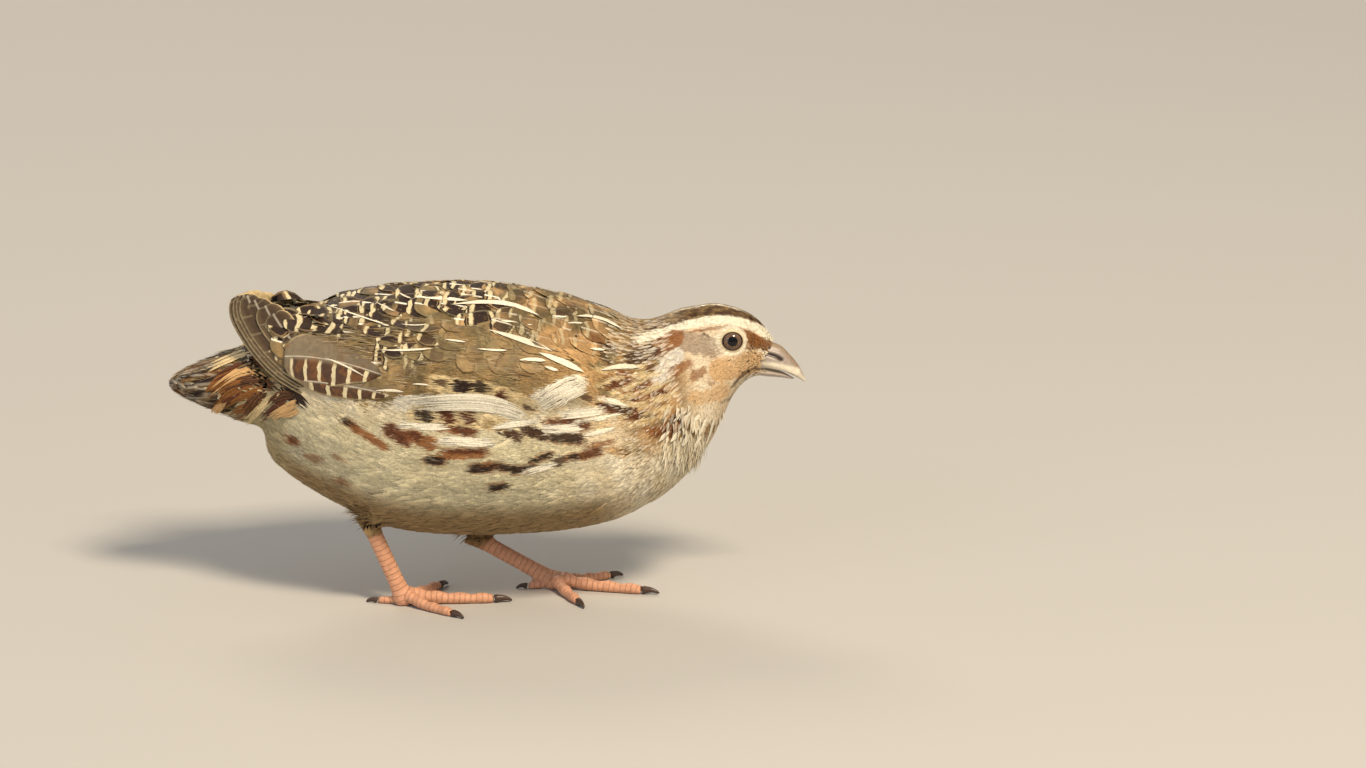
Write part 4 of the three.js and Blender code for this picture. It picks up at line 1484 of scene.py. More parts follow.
TRACTS = (
    Tract("crown_coat", "head_coat", Region.CROWN, 0.7, 3.4, 1.5, TUFT, lift=0.08, patchy=0.3,
          tint=Tint.UMBER, mix=0.6, floor=0.2),
    Tract("crown_barbs", "head_coat", Region.CROWN, 0.42, 2.6, 0.24, BARB, lift=0.12, patchy=0.3,
          tint=Tint.UMBER, mix=0.6),
    Tract("face_coat", "head_coat", Region.FACE, 0.52, 2.6, 1.2,
          replace(TUFT, thickness=0.02, root_shade=1.0, lean=0.02), lift=0.015, vary=0.12, sink=0.35,
          floor=0.16),
    Tract("face_barbs", "head_coat", Region.FACE, 0.37, 1.9, 0.19,
          replace(BARB, stations=2, thickness=0.025, root_shade=0.97), lift=0.05, sink=0.3, floor=0.14),
    Tract("lid_barbs", "head_coat", Region.LID, 0.3, 1.5, 0.26,
          replace(BARB, stations=2, thickness=0.03, root_shade=1.0, lean=0.0), lift=0.05, sink=0.0,
          floor=0.1, tint=Tint.CREAM, mix=0.5),
    Tract("neck_coat", "neck_coat", Region.NECK, 1.25, 5.8, 3.0, TUFT, lift=0.15,
          marks=(0.2, 0.0, 0.5, 0.0), sink=0.4, patchy=0.2, tint=Tint.RUFOUS, mix=0.5),
    Tract("neck_barbs", "neck_coat", Region.NECK, 0.82, 5.0, 0.42, BARB, lift=0.2, patchy=0.4,
          tint=Tint.PALE_BUFF, mix=0.5, sink=0.4),
    Tract("throat_hackles", "neck_coat", Region.HACKLE, 1.7, 6.4, 1.35, replace(TUFT, root_shade=0.4),
          lift=1.5, tint=Tint.CREAM, mix=0.75),
    Tract("breast_coat", "body_coat", Region.BREAST, 1.9, 9.0, 5.2, PLUME, lift=0.15, sink=0.3),
    Tract("breast_barbs", "body_coat", Region.BREAST, 0.8, 7.0, 0.4, BARB, lift=0.14, patchy=0.4,
          tint=Tint.CREAM, mix=0.4, sink=0.25),
    Tract("flank_coat", "body_coat", Region.FLANK, 2.6, 13.0, 7.0, PLUME, lift=0.15, stray=0.10, sink=0.3),
    Tract("flank_barbs", "body_coat", Region.FLANK, 0.7, 7.0, 0.46, BARB, lift=0.14, patchy=0.2,
          tint=Tint.CREAM, mix=0.35, stray=0.08, sink=0.2),
    Tract("mark_barbs", "body_coat", Region.MARKED, 0.5, 4.4, 0.5, replace(BARB, stations=1), lift=0.22,
          stray=0.1, sink=0.12),
    Tract("belly_coat", "body_coat", Region.BELLY, 2.6, 11.0, 6.4, PLUME, lift=0.2, stray=0.12, sink=0.3),
    Tract("belly_barbs", "body_coat", Region.BELLY, 1.15, 7.5, 0.5, BARB, lift=0.25, stray=0.12, sink=0.2),
    Tract("vent_coat", "body_coat", Region.VENT, 2.4, 11.0, 6.2, PLUME, lift=0.5, stray=0.18, sink=0.35),
    Tract("vent_barbs", "body_coat", Region.VENT, 0.65, 8.5, 0.38, BARB, lift=0.6, stray=0.2, sink=0.25),
    Tract("thigh_down", "body_coat", Region.THIGH, 0.85, 6.0, 1.1,
          replace(TUFT, stations=4, soft_normals=False, loose=0.9), lift=0.3, stray=0.25),
    Tract("mantle_coat", "body_coat", Region.MANTLE, 5.0, 14.0, 9.6, SCALE, lift=0.35, sink=0.5,
          stray=0.08, marks=(1.0, 1.0, 0.8, 0.1)),
    Tract("mantle_barbs", "body_coat", Region.MANTLE, 1.5, 4.5, 0.26, BARB, lift=0.5, patchy=0.5,
          tint=Tint.SAND, mix=0.6),
    Tract("rump_coat", "body_coat", Region.RUMP, 4.4, 13.0, 8.0, SCALE, lift=0.5, sink=0.6,
          marks=(1.0, 0.95, 0.8, 0.1)),
    Tract("wing_coverts", "wing_coat", Region.COVERT, 4.0, 12.0, 9.0, replace(SCALE, thickness=0.04),
          lift=0.06, sink=0.5, stray=0.06, marks=(0.2, 0.2, 0.15, 0.05)),
    Tract("covert_barbs", "wing_coat", Region.COVERT, 0.85, 6.0, 0.28, BARB, lift=0.16, sink=0.1,
          patchy=0.3, tint=Tint.CREAM, mix=0.3),
    Tract("tail_coverts", "tail_coat", Region.TAIL, 4.2, 19.0, 6.6, replace(SCALE, outline=Outline.LANCE),
          lift=0.5, sink=0.4, marks=(0.6, 0.2, 0.3, 0.1), stray=0.08),
    Tract("tail_barbs", "tail_coat", Region.TAIL, 1.4, 7.0, 0.3, BARB, lift=0.7, sink=0.0),
)


@dataclass(frozen=True)
class Quill:
    """One large feather laid out on the side sheet, root, bend and tip, in mm."""

    root: tuple[float, float]
    bend: tuple[float, float]
    tip: tuple[float, float]
    width: float
    stack: float
    tint: Tint
    marks: tuple[float, float, float, float]
    edge: Tint = Tint.PALE_BUFF
    base: float = 0.0

    def point(self, t: float) -> tuple[float, float]:
        """Finds a place on the curve, which passes through the bend.

        Args:
            t: Place along the feather, 0 root to 1 tip.

        Returns:
            The place as x and h.
        """
        a, c = (1 - t) * (1 - 2 * t), t * (2 * t - 1)
        b = 1 - a - c
        return tuple(a * r + b * m + c * e for r, m, e in zip(self.root, self.bend, self.tip))


@dataclass
class QuillSet:
    """Large feathers of one kind on one side of the bird."""

    quills: list[Quill]
    vane: Vane
    plane: tuple | None = None
    vary: float = 0.0
    droop: float = 2.6

    def build(self, forge: Forge, name: str, side: int) -> bpy.types.Object:
        """Lays the feathers on the envelope where the sheet shows them.

        Args:
            forge: Builds the mesh.
            name: Name of the new object.
            side: -1 for the bird's right, 1 for its left.

        Returns:
            The joined mesh object.
        """
        t = self.vane.steps
        envelope = forge.plumage.envelope
        low = self.droop if side > 0 else 0.0
        if self.plane:
            middle, out = (np.array(v) * [1.0, -side, 1.0] for v in self.plane)
            spots = [[(*q.point(s), low * s) for s in t] for q in self.quills]
            rays = [[envelope.sheet.ray(x, h - drop, side) for x, h, drop in row] for row in spots]
            starts, sights = (np.array([[tuple(ray[k]) for ray in row] for row in rays]) for k in (0, 1))
            reach = ((middle - starts) @ out) / (sights @ out)
            places = starts + sights * reach[..., None]
            track = Track(places, np.broadcast_to(out, places.shape))
        else:
            rows = np.array([[envelope.sight(*q.point(s), side) for s in t] for q in self.quills])
            for _ in range(2):
                rows[:, 1:-1] = rows[:, 1:-1] * 0.5 + (rows[:, :-2] + rows[:, 2:]) * 0.25
            flat, out = envelope.settle(rows.reshape(-1, 3))
            track = Track(flat.reshape(rows.shape), out.reshape(rows.shape))
        sites = forge.plumage.survey(track.places[:, 0], track.normals[:, 0])
        count, quills = len(self.quills), self.quills
        crop = Crop(
            sites=sites,
            aim=track.places[:, 1] - track.places[:, 0],
            length=np.linalg.norm(np.diff(track.places, axis=1), axis=2).sum(axis=1),
            width=np.array([q.width for q in quills]),
            sink=-np.array([q.base for q in quills]),
            lift=np.array([q.stack for q in quills]),
            tint=np.array([q.tint.rgb for q in quills]),
            mix=np.ones(count),
            shade=1 + self.vary * np.sin(np.arange(count) * 2.2 + 1),
            marks=np.array([q.marks for q in quills]),
            edge=np.array([q.edge.rgb for q in quills]),
        )
        return forge.grow(crop, self.vane, name, track)


@dataclass(frozen=True)
class Lay:
    """Loose feathers of one tint: rows of root, bend and tip on the side sheet, and width, in mm."""

    tint: Tint
    rows: tuple[tuple[float, ...], ...]
    layer: float = 0.5
    strand: float = 0.5
    slip: float = 0.3
    edge: Tint = Tint.PALE_BUFF
    margin: float = 0.0

    def quills(self) -> list[Quill]:
        """Splits each row into feathers side by side that end unevenly.

        Returns:
            The feathers.
        """
        made, marks = [], (0.0, 0.0, 0.0, self.margin)
        for row in self.rows:
            root, bend, tip = (np.array(row[k : k + 2]) for k in (0, 2, 4))
            count = 1 if self.strand > row[6] else max(1, round(2.0 * row[6] / self.strand))
            out = unit(np.array([root[1] - tip[1], tip[0] - root[0]]))
            reach = np.linalg.norm(tip - root)
            rng = np.random.default_rng(int(abs(root[0] * 31 + tip[1] * 17) * 10))
            wide = row[6] if count == 1 else 1.7 * self.strand
            for k in range(count):
                early, late = rng.uniform(0, min(self.slip * reach, 9.0), 2) * (count > 1)
                off = (((k + 0.5) / count - 0.5) * row[6] + rng.normal(0, 0.3 * self.strand)) * (count > 1)
                start = root + early * unit(bend - root) + 0.85 * off * out
                end = tip - late * unit(tip - bend) + 0.9 * off * out
                mid = bend + 0.5 * (early - late) * unit(tip - root) + off * out
                layer = self.layer * rng.uniform(0.5, 1.1)
                places = tuple(start), tuple(mid), tuple(end)
                made.append(Quill(*places, wide, layer, self.tint, marks, self.edge, 0.5 * layer))
        return made


# Finishes


def add(
    tree: bpy.types.NodeTree,
    kind: str,
    *values: object,
    feeds: dict[int | str, object] | None = None,
    out: int | str = 0,
    **settings: object,
) -> bpy.types.NodeSocket:
    """Adds a node with its settings, and links or sets its inputs.

    Args:
        tree: The node tree.
        kind: Node type, without its first word.
        values: Sockets or values for the first inputs, in their order.
        feeds: The same for inputs chosen by number or name.
        out: Number or name of the output handed back.
        settings: Attributes of the node.

    Returns:
        An output of the new node.
    """
    made = tree.nodes.new(f"ShaderNode{kind}")
    for key, value in settings.items():
        setattr(made, key, value)
    for key, value in {**dict(enumerate(values)), **(feeds or {})}.items():
        if isinstance(value, bpy.types.NodeSocket):
            tree.links.new(value, made.inputs[key])
        else:
            made.inputs[key].default_value = value
    return made.outputs[out]


Node = Callable[..., bpy.types.NodeSocket]
SMOOTH = {"interpolation_type": "SMOOTHSTEP"}
COLOUR = {"out": 2, "data_type": "RGBA"}


def rgba(tint: Tint | str) -> tuple[float, float, float, float]:
    """Linear colour with a full fourth channel, for a shader socket."""
    return (*(tint.rgb if isinstance(tint, Tint) else linear(tint)), 1.0)


@dataclass(frozen=True)
class Finish:
    """A procedural surface; the subclasses say how it is coloured."""

    name: str
    roughness: float = 0.6
    specular: float = 0.3

    def material(self) -> bpy.types.Material:
        """Builds the material.

        Returns:
            The material.
        """
        made = bpy.data.materials.new(self.name)
        made.use_nodes = True
        tree = made.node_tree
        tree.nodes.clear()
        feeds = {"Roughness": self.roughness, "Specular IOR Level": self.specular}
        feeds |= self.dress(partial(add, tree))
        shader = add(tree, "BsdfPrincipled", feeds=feeds)
        tree.links.new(shader, tree.nodes.new("ShaderNodeOutputMaterial").inputs[0])
        return made

    def dress(self, node: Node) -> dict[str, object]:
        """Adds the nodes of this surface and says what feeds the shader.

        Args:
            node: Adds a node to the tree of the material.

        Returns:
            Sockets and values against the names of the inputs of the shader.
        """
        return {}


@dataclass(frozen=True)
class DownFinish(Finish):
    """Small soft feathers and barbs: matt, with the faintest sheen, so that they look like down."""

    roughness: float = 0.8
    sheen: float = 0.04
    grain_mm: float = 0.5

    def dress(self, node: Node) -> dict[str, object]:
        """Colours from the vertices with a fine grain.

        Args:
            node: Adds a node to the tree of the material.

        Returns:
            What feeds the shader.
        """
        tone = node("Attribute", out="Color", attribute_name="Tone")
        here = node("TexCoord", out="Object")
        noise = node("TexNoise", feeds={"Vector": here, "Scale": MM_PER_M / self.grain_mm, "Detail": 2.0})
        grain = node("MapRange", noise, 0.25, 0.75, 0.82, 1.12, **SMOOTH)
        colour = node("VectorMath", tone, feeds={"Scale": grain}, operation="SCALE")
        return {"Base Color": colour, "Sheen Weight": self.sheen}


@dataclass(frozen=True)
class VaneFinish(Finish):
    """Patterned feathers: bars, dark patches, shaft and edge in real millimetres, half matt."""

    roughness: float = 0.55
    period: float = 6.2
    bar: float = 1.05
    shaft: float = 0.42
    barb: float = 0.36
    curve: float = 0.05
    start: float = 2.0
    reach: float = 4.9
    rim: float = 0.84
    lower_only: bool = False
    dark: Tint = Tint.BLACK_BROWN

    def dress(self, node: Node) -> dict[str, object]:
        """Draws the pattern on the map of each vane.

        Args:
            node: Adds a node to the tree of the material.

        Returns:
            What feeds the shader.
        """
        tone, edge = (node("Attribute", out="Color", attribute_name=name) for name in ("Tone", "Edge"))
        across = node("Attribute", out="Fac", attribute_name="Across")
        marks = node("Attribute", out="Color", attribute_name="Marks")
        dark_k, bar_k, shaft_k = node("SeparateColor", marks).node.outputs[:3]
        edge_k = marks.node.outputs["Alpha"]
        aside, along = node("SeparateXYZ", node("UVMap", uv_map="Vane")).node.outputs[:2]
        here = node("TexCoord", out="Object")
        waves, gaps, stray, cloud, *blots = (
            node("TexNoise", feeds={"Vector": here, "Scale": MM_PER_M / size, "Detail": 2.0})
            for size in (2.6, 5.0, 1.5, 1.2, *((7.0, 3.2) if self.lower_only else ()))
        )
        side = node("Math", aside, operation="ABSOLUTE")
        edgeward = node("Math", across, operation="ABSOLUTE")
        wobble = node("Math", waves, 1.6, operation="MULTIPLY")
        bent = node("Math", side, side, operation="MULTIPLY")
        bent = node("Math", bent, self.curve, wobble, operation="MULTIPLY_ADD")
        gap = node("Math", along, bent, operation="ADD")
        gap = node("Math", gap, self.start, operation="SUBTRACT")
        near = node("Math", gap, self.period / 2, operation="PINGPONG")
        turn = node("Math", gap, self.period, operation="DIVIDE")
        turn = node("Math", turn, operation="FRACT")
        ahead = node("Math", turn, self.period, operation="MULTIPLY")
        half = self.bar / 2
        after = node("MapRange", ahead, half + 0.1, half + 0.4, **SMOOTH)
        before = node("MapRange", ahead, self.reach + 0.25, self.reach - 0.15, **SMOOTH)
        dark = node("Math", after, before, operation="MULTIPLY")
        thin = node("MapRange", near, half + 0.75, half + 0.4, **SMOOTH)
        thin = node("Math", thin, node("MapRange", gaps, 0.46, 0.54, **SMOOTH), operation="MULTIPLY")
        deep = rgba(self.dark)
        if self.lower_only:
            lower = node("MapRange", across, 0.02, 0.2, **SMOOTH)
            lower = node("Math", lower, node("MapRange", gap, -1.5, 0.5, **SMOOTH), operation="MULTIPLY")
            rusty = node("MapRange", blots[0], 0.48, 0.66, 0.0, 0.4, **SMOOTH)
            tone = node("Mix", rusty, feeds={6: tone, 7: rgba(Tint.OCHRE)}, **COLOUR)
            dark, bar_k = (node("Math", lower, k, operation="MULTIPLY") for k in (dark, bar_k))
            stained = node("MapRange", blots[1], 0.46, 0.62, 0.0, 0.55, **SMOOTH)
            deep = node("Mix", stained, feeds={6: deep, 7: rgba(Tint.OCHRE)}, **COLOUR)
        dark = node("Math", dark, dark_k, operation="MULTIPLY")
        dark = node("Math", dark, node("Math", thin, bar_k, operation="MULTIPLY"), operation="MAXIMUM")
        dark = node("Math", dark, node("MapRange", edgeward, 0.95, 0.85, **SMOOTH), operation="MULTIPLY")
        colour = node("Mix", dark, feeds={6: tone, 7: deep}, **COLOUR)
        for value, low, high, share, over in (
            (near, half + 0.12, half - 0.12, bar_k, rgba("D3C59C")),
            (edgeward, self.rim, self.rim + 0.08, edge_k, edge),
            (side, self.shaft, self.shaft * 0.45, shaft_k, rgba("F0E8D2")),
        ):
            band = node("MapRange", value, low, high, **SMOOTH)
            band = node("Math", band, share, operation="MULTIPLY")
            colour = node("Mix", band, feeds={6: colour, 7: over}, **COLOUR)
        slant = node("Math", side, 0.8, along, operation="MULTIPLY_ADD")
        slant = node("Math", slant, node("Math", stray, 0.5, operation="MULTIPLY"), operation="ADD")
        lines = node("Math", slant, 2 * math.pi / self.barb, operation="MULTIPLY")
        lines = node("Math", lines, operation="SINE")
        grain = node("Math", lines, 0.02, 1.0, operation="MULTIPLY_ADD")
        soft = node("MapRange", cloud, 0.25, 0.75, 0.84, 1.12, **SMOOTH)
        grain = node("Math", grain, soft, operation="MULTIPLY")
        colour = node("VectorMath", colour, feeds={"Scale": grain}, operation="SCALE")
        relief = node("Bump", feeds={"Height": lines, "Strength": 1.0, "Distance": 0.003 * MM})
        return {"Base Color": colour, "Normal": relief}


@dataclass(frozen=True)
class SkinFinish(Finish):
    """Skin: feather colours where the coat covers it, on the feet pink scales with a soft gloss."""

    roughness: float = 0.5
    scute: float = 1.6
    scale_mm: float = 0.75

    def dress(self, node: Node) -> dict[str, object]:
        """Colours from the vertices; rows of scutes along the shanks and toes.

        Args:
            node: Adds a node to the tree of the material.

        Returns:
            What feeds the shader.
        """
        tone = node("Attribute", out="Color", attribute_name="Tone")
        along, scaly = (node("Attribute", out="Fac", attribute_name=name) for name in ("Along", "Scaly"))
        here = node("TexCoord", out="Object")
        waves, fine = (
            node("TexNoise", feeds={"Vector": here, "Scale": MM_PER_M / size, "Detail": detail})
            for size, detail in ((2.5, 2.0), (1.3, 3.0))
        )
        along = node("Math", along, node("Math", waves, 0.9, operation="MULTIPLY"), operation="ADD")
        turn = node("Math", node("Math", along, self.scute, operation="DIVIDE"), operation="FRACT")
        seam = node("Math", node("Math", turn, 0.5, operation="SUBTRACT"), operation="ABSOLUTE")
        seam = node("Math", node("MapRange", seam, 0.36, 0.49, **SMOOTH), scaly, operation="MULTIPLY")
        grain = node("MapRange", fine, 0.25, 0.75, 0.88, 1.10, **SMOOTH)
        darker = node("Math", seam, -0.14, 1.0, operation="MULTIPLY_ADD")
        grain = node("Math", grain, darker, operation="MULTIPLY")
        colour = node("VectorMath", tone, feeds={"Scale": grain}, operation="SCALE")
        scales = {"Vector": here, "Scale": MM_PER_M / self.scale_mm}
        cells = node("TexVoronoi", feeds=scales, out="Distance")
        cells = node("Math", cells, -0.5, operation="MULTIPLY")
        height = node("Math", seam, -1.0, cells, operation="MULTIPLY_ADD")
        relief = node("Bump", feeds={"Height": height, "Strength": 1.0, "Distance": 0.14 * MM})
        return {"Base Color": colour, "Normal": relief}


@dataclass(frozen=True)
class HornFinish(Finish):
    """Bill and claws: smooth keratin coloured at the vertices, with the glint of horn."""

    roughness: float = 0.38
    specular: float = 0.45
    grain_mm: float = 0.9

    def dress(self, node: Node) -> dict[str, object]:
        """Colours from the vertices, faint growth grain.

        Args:
            node: Adds a node to the tree of the material.

        Returns:
            What feeds the shader.
        """
        tone = node("Attribute", out="Color", attribute_name="Tone")
        here = node("TexCoord", out="Object")
        broad, fine = (
            node("TexNoise", feeds={"Vector": here, "Scale": MM_PER_M / size, "Detail": detail})
            for size, detail in ((self.grain_mm, 3.0), (self.grain_mm * 0.6, 2.0))
        )
        grain = node("MapRange", broad, 0.25, 0.75, 0.88, 1.08, **SMOOTH)
        colour = node("VectorMath", tone, feeds={"Scale": grain}, operation="SCALE")
        relief = node("Bump", feeds={"Height": fine, "Strength": 1.0, "Distance": 0.04 * MM})
        return {"Base Color": colour, "Normal": relief}


@dataclass(frozen=True)
class IrisFinish(Finish):
    """Wet eye: black pupil, brown iris and dark rim round its axis, under a clear coat."""

    roughness: float = 0.25
    specular: float = 0.1
    side: float = -1.0

    def dress(self, node: Node) -> dict[str, object]:
        """Rings by distance from the eye's axis.

        Args:
            node: Adds a node to the tree of the material.

        Returns:
            What feeds the shader.
        """
        eye = Eye(self.side)
        here = node("TexCoord", out="Object")
        away = node("VectorMath", here, tuple(eye.middle), operation="SUBTRACT")
        turned = node("VectorMath", away, tuple(eye.axis), operation="CROSS_PRODUCT")
        gap = node("VectorMath", turned, out="Value", operation="LENGTH")
        gap = node("Math", gap, MM_PER_M, operation="MULTIPLY")
        rays = node("TexNoise", feeds={"Vector": away, "Scale": MM_PER_M / 0.35, "Detail": 2.0})
        colour = rgba("4A382B")
        for value, low, high, over in (
            (rays, 0.3, 0.7, "7C624B"),
            (gap, 2.3, 2.62, "1C120C"),
            (gap, 1.46, 1.36, "050404"),
        ):
            share = node("MapRange", value, low, high, **SMOOTH)
            colour = node("Mix", share, feeds={6: colour, 7: rgba(over)}, **COLOUR)
        return {"Base Color": colour, "Coat Weight": 1.0, "Coat Roughness": 0.03, "Coat IOR": 1.36}


@dataclass(frozen=True)
class FloorFinish(Finish):
    """Plain pale matt floor that lets the bird stand out."""

    roughness: float = 0.8
    colour: str = "BDBAB4"

    def dress(self, node: Node) -> dict[str, object]:
        """One pale colour.

        Args:
            node: Adds a node to the tree of the material.

        Returns:
            What feeds the shader.
        """
        return {"Base Color": rgba(self.colour)}


# Parts


@dataclass(frozen=True)
class Eye:
    """One eyeball and its lids, in mm; side is -1 on the bird's right."""

    side: float
    centre: tuple[float, float, float] = EYE_CENTRE
    radius: float = 4.0
    upturn: float = math.radians(9.0)
    forward: float = math.radians(4.0)
    squash: float = 0.9
    lid: tuple[tuple[float, float], ...] = (
        *((2.62, 3.00), (2.70, 3.09), (2.80, 3.12), (2.90, 3.07)),
        *((3.05, 2.95), (3.3, 2.7), (3.7, 2.2), (4.2, 1.4), (4.6, 0.6)),
    )

    @property
    def axis(self) -> np.ndarray:
        """Unit direction in which the eye looks."""
        out = math.cos(self.upturn) * math.cos(self.forward)
        return np.array([math.sin(self.forward), self.side * out, math.sin(self.upturn)])

    @property
    def middle(self) -> Vector:
        """Centre of the eyeball in metres, in the frame."""
        x, y, z = self.centre
        return Vector(((x - DATUM_SHIFT) * MM, y * self.side * MM, z * MM))

    def ball(self) -> bpy.types.Object:
        """Builds the eyeball with a slightly raised cornea.

        Returns:
            The eyeball.
        """
        bm = bmesh.new()
        bmesh.ops.create_uvsphere(bm, u_segments=64, v_segments=48, radius=self.radius * MM)
        axis = Vector(self.axis)
        for vert in bm.verts:
            vert.co.rotate(Vector((0, 0, 1)).rotation_difference(axis))
            swell = max(0.0, vert.co.normalized().dot(axis) - 0.74) / 0.26
            vert.co += axis * (0.22 * MM * swell * (2 - swell)) - vert.co * (0.02 * swell)
            vert.co += self.middle
        label = "right" if self.side < 0 else "left"
        piece = as_object(bm, f"eye_globe_{label}")
        # Wet eyeball: its clear coat gives the sharp highlight of a live eye.
        piece.data.materials.append(IrisFinish(f"wet_iris_{label}", side=self.side).material())
        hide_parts(f"eye_{label}")
        return piece

    def lids(self) -> bpy.types.Object:
        """Builds the rolled lid rim, round but slightly flattened above.

        Returns:
            The rim of both lids, to be joined into the skin.
        """
        bm = bmesh.new()
        verts = [bm.verts.new((r * MM, 0, up * MM)) for r, up in self.lid]
        edges = [bm.edges.new(pair) for pair in zip(verts[:-1], verts[1:])]
        turned = {"cent": (0, 0, 0), "axis": (0, 0, 1), "angle": 2 * math.pi, "steps": 72}
        bmesh.ops.spin(bm, geom=verts + edges, use_merge=True, **turned)
        axis = Vector(self.axis)
        turn = Vector((0, 0, 1)).rotation_difference(axis)
        for vert in bm.verts:
            around = math.atan2(vert.co.y, vert.co.x)
            vert.co *= 1 + 0.006 * math.sin(around * 23) * (vert.co.length > 3.9 * MM)
            far = math.hypot(vert.co.x, vert.co.y) / MM
            vert.co.y *= 1 - (1 - self.squash) * float(smoothstep(4.2, 3.2, far))
            near = math.hypot(vert.co.x, vert.co.y) / MM
            if far < 3.9:
                vert.co.z += (math.sqrt(self.radius**2 - near**2) - math.sqrt(self.radius**2 - far**2)) * MM
            vert.co.rotate(turn)
            vert.co += self.middle
        bmesh.ops.recalc_face_normals(bm, faces=bm.faces)
        if sum(f.normal.dot(axis) for f in bm.faces) < 0:
            bmesh.ops.reverse_faces(bm, faces=bm.faces)
        return as_object(bm, "lids")


def as_object(bm: bmesh.types.BMesh, name: str) -> bpy.types.Object:
    """Turns a bmesh into a linked, smooth object and frees it.

    Args:
        bm: The shape, freed here.
        name: Name of the mesh and the object.

    Returns:
        The new object.
    """
    mesh = bpy.data.meshes.new(name)
    bm.to_mesh(mesh)
    bm.free()
    mesh.polygons.foreach_set("use_smooth", np.ones(len(mesh.polygons), bool))
    piece = bpy.data.objects.new(name, mesh)
    bpy.context.scene.collection.objects.link(piece)
    return piece


@dataclass
class Skin:
    """The one skin under the coat, bare on the feet, with the lid rims joined in."""

    plumage: Plumage
    voxel: float = 0.6
    grow: float = 0.2
    budget: int = 150_000

    def build(self) -> bpy.types.Object:
        """Fuses the flesh, sinks it by the coat's depth and colours it.

        Returns:
            The skin.
        """
        mesh = remeshed(node_mesh(FLESH + FEET, self.grow), self.voxel, 2)
        points, normals = coordinates(mesh), pull(mesh.vertex_normals, "vector")
        sites = self.plumage.survey(points, normals)
        deep = self.plumage.depth(sites) + self.grow
        sunk = (points - normals * deep[:, None] - [DATUM_SHIFT, 0, 0]) * MM
        sunk[:, 2] = np.maximum(sunk[:, 2], 0.0)
        mesh.vertices.foreach_set("co", sunk.ravel())
        mesh.update()
        bm = bmesh.new()
        bm.from_mesh(mesh)
        bpy.data.meshes.remove(mesh)
        for side in (-1.0, 1.0):
            lids = Eye(side).lids()
            rims = lids.data
            bm.from_mesh(rims)
            bpy.data.objects.remove(lids)
            bpy.data.meshes.remove(rims)
        piece = as_object(bm, "skin")
        thin = piece.modifiers.new("thin", "DECIMATE")
        thin.ratio = min(1.0, self.budget / (2 * len(piece.data.polygons)))
        covered = piece.vertex_groups.new(name="covered")
        covered.add(np.flatnonzero(sites.part != Part.FOOT).tolist(), 1.0, "REPLACE")
        thin.vertex_group = covered.name
        graph = bpy.context.evaluated_depsgraph_get()
        dense = piece.data
        piece.data = bpy.data.meshes.new_from_object(piece.evaluated_get(graph))
        piece.modifiers.clear()
        piece.vertex_groups.clear()
        bpy.data.meshes.remove(dense)
        self._colour(piece.data)
        piece.data.materials.clear()
        # Skin: repeats the coat's colours, so that no gap between feathers shows as a hole.
        piece.data.materials.append(SkinFinish("coated_skin").material())
        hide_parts(*FLESH, *FEET)
        return piece

    def _colour(self, mesh: bpy.types.Mesh) -> None:
        """Stores the markings with their painted shade, and how far along each toe a place lies.

        Args:
            mesh: The mesh of the skin.
        """
        points = coordinates(mesh)
        part = self.plumage.part_of(points)
        # Under the coat the skin is a tenth darker: faint painted shade in the gaps between feathers.
        tone = self.plumage.tone(points, part) * np.where(part == Part.FOOT, 1.0, 0.9)[:, None]
        for side in (-1.0, 1.0):
            eye = Eye(side)
            away = points - np.array(eye.centre) * [1, side, 1]
            up = away @ eye.axis
            gap = np.linalg.norm((away - up[:, None] * eye.axis) / [1, 1, eye.squash], axis=1)
            lid = (up > 0.3) & (gap < 4.7)
            rim = blend(linear("2A1C14"), linear("D8C6A0"), smoothstep(2.86, 3.10, gap))
            tone = blend(tone, rim, lid.astype(float))
        paint(mesh, "Tone", tone)
        names = self.plumage.node_of(points)
        along, scaly = np.zeros(len(points), np.float32), np.zeros(len(points), np.float32)
        for name in FEET:
            corners = coordinates(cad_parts[name].data)
            middle = corners.mean(axis=0)
            axis = np.linalg.svd(corners - middle, full_matrices=False)[2][0]
            mine = names == name
            along[mine] = (points[mine] - middle) @ axis
            scaly[mine] = 1.0
        for title, values in (("Along", along), ("Scaly", scaly)):
            mesh.attributes.new(title, "FLOAT", "POINT").data.foreach_set("value", values)


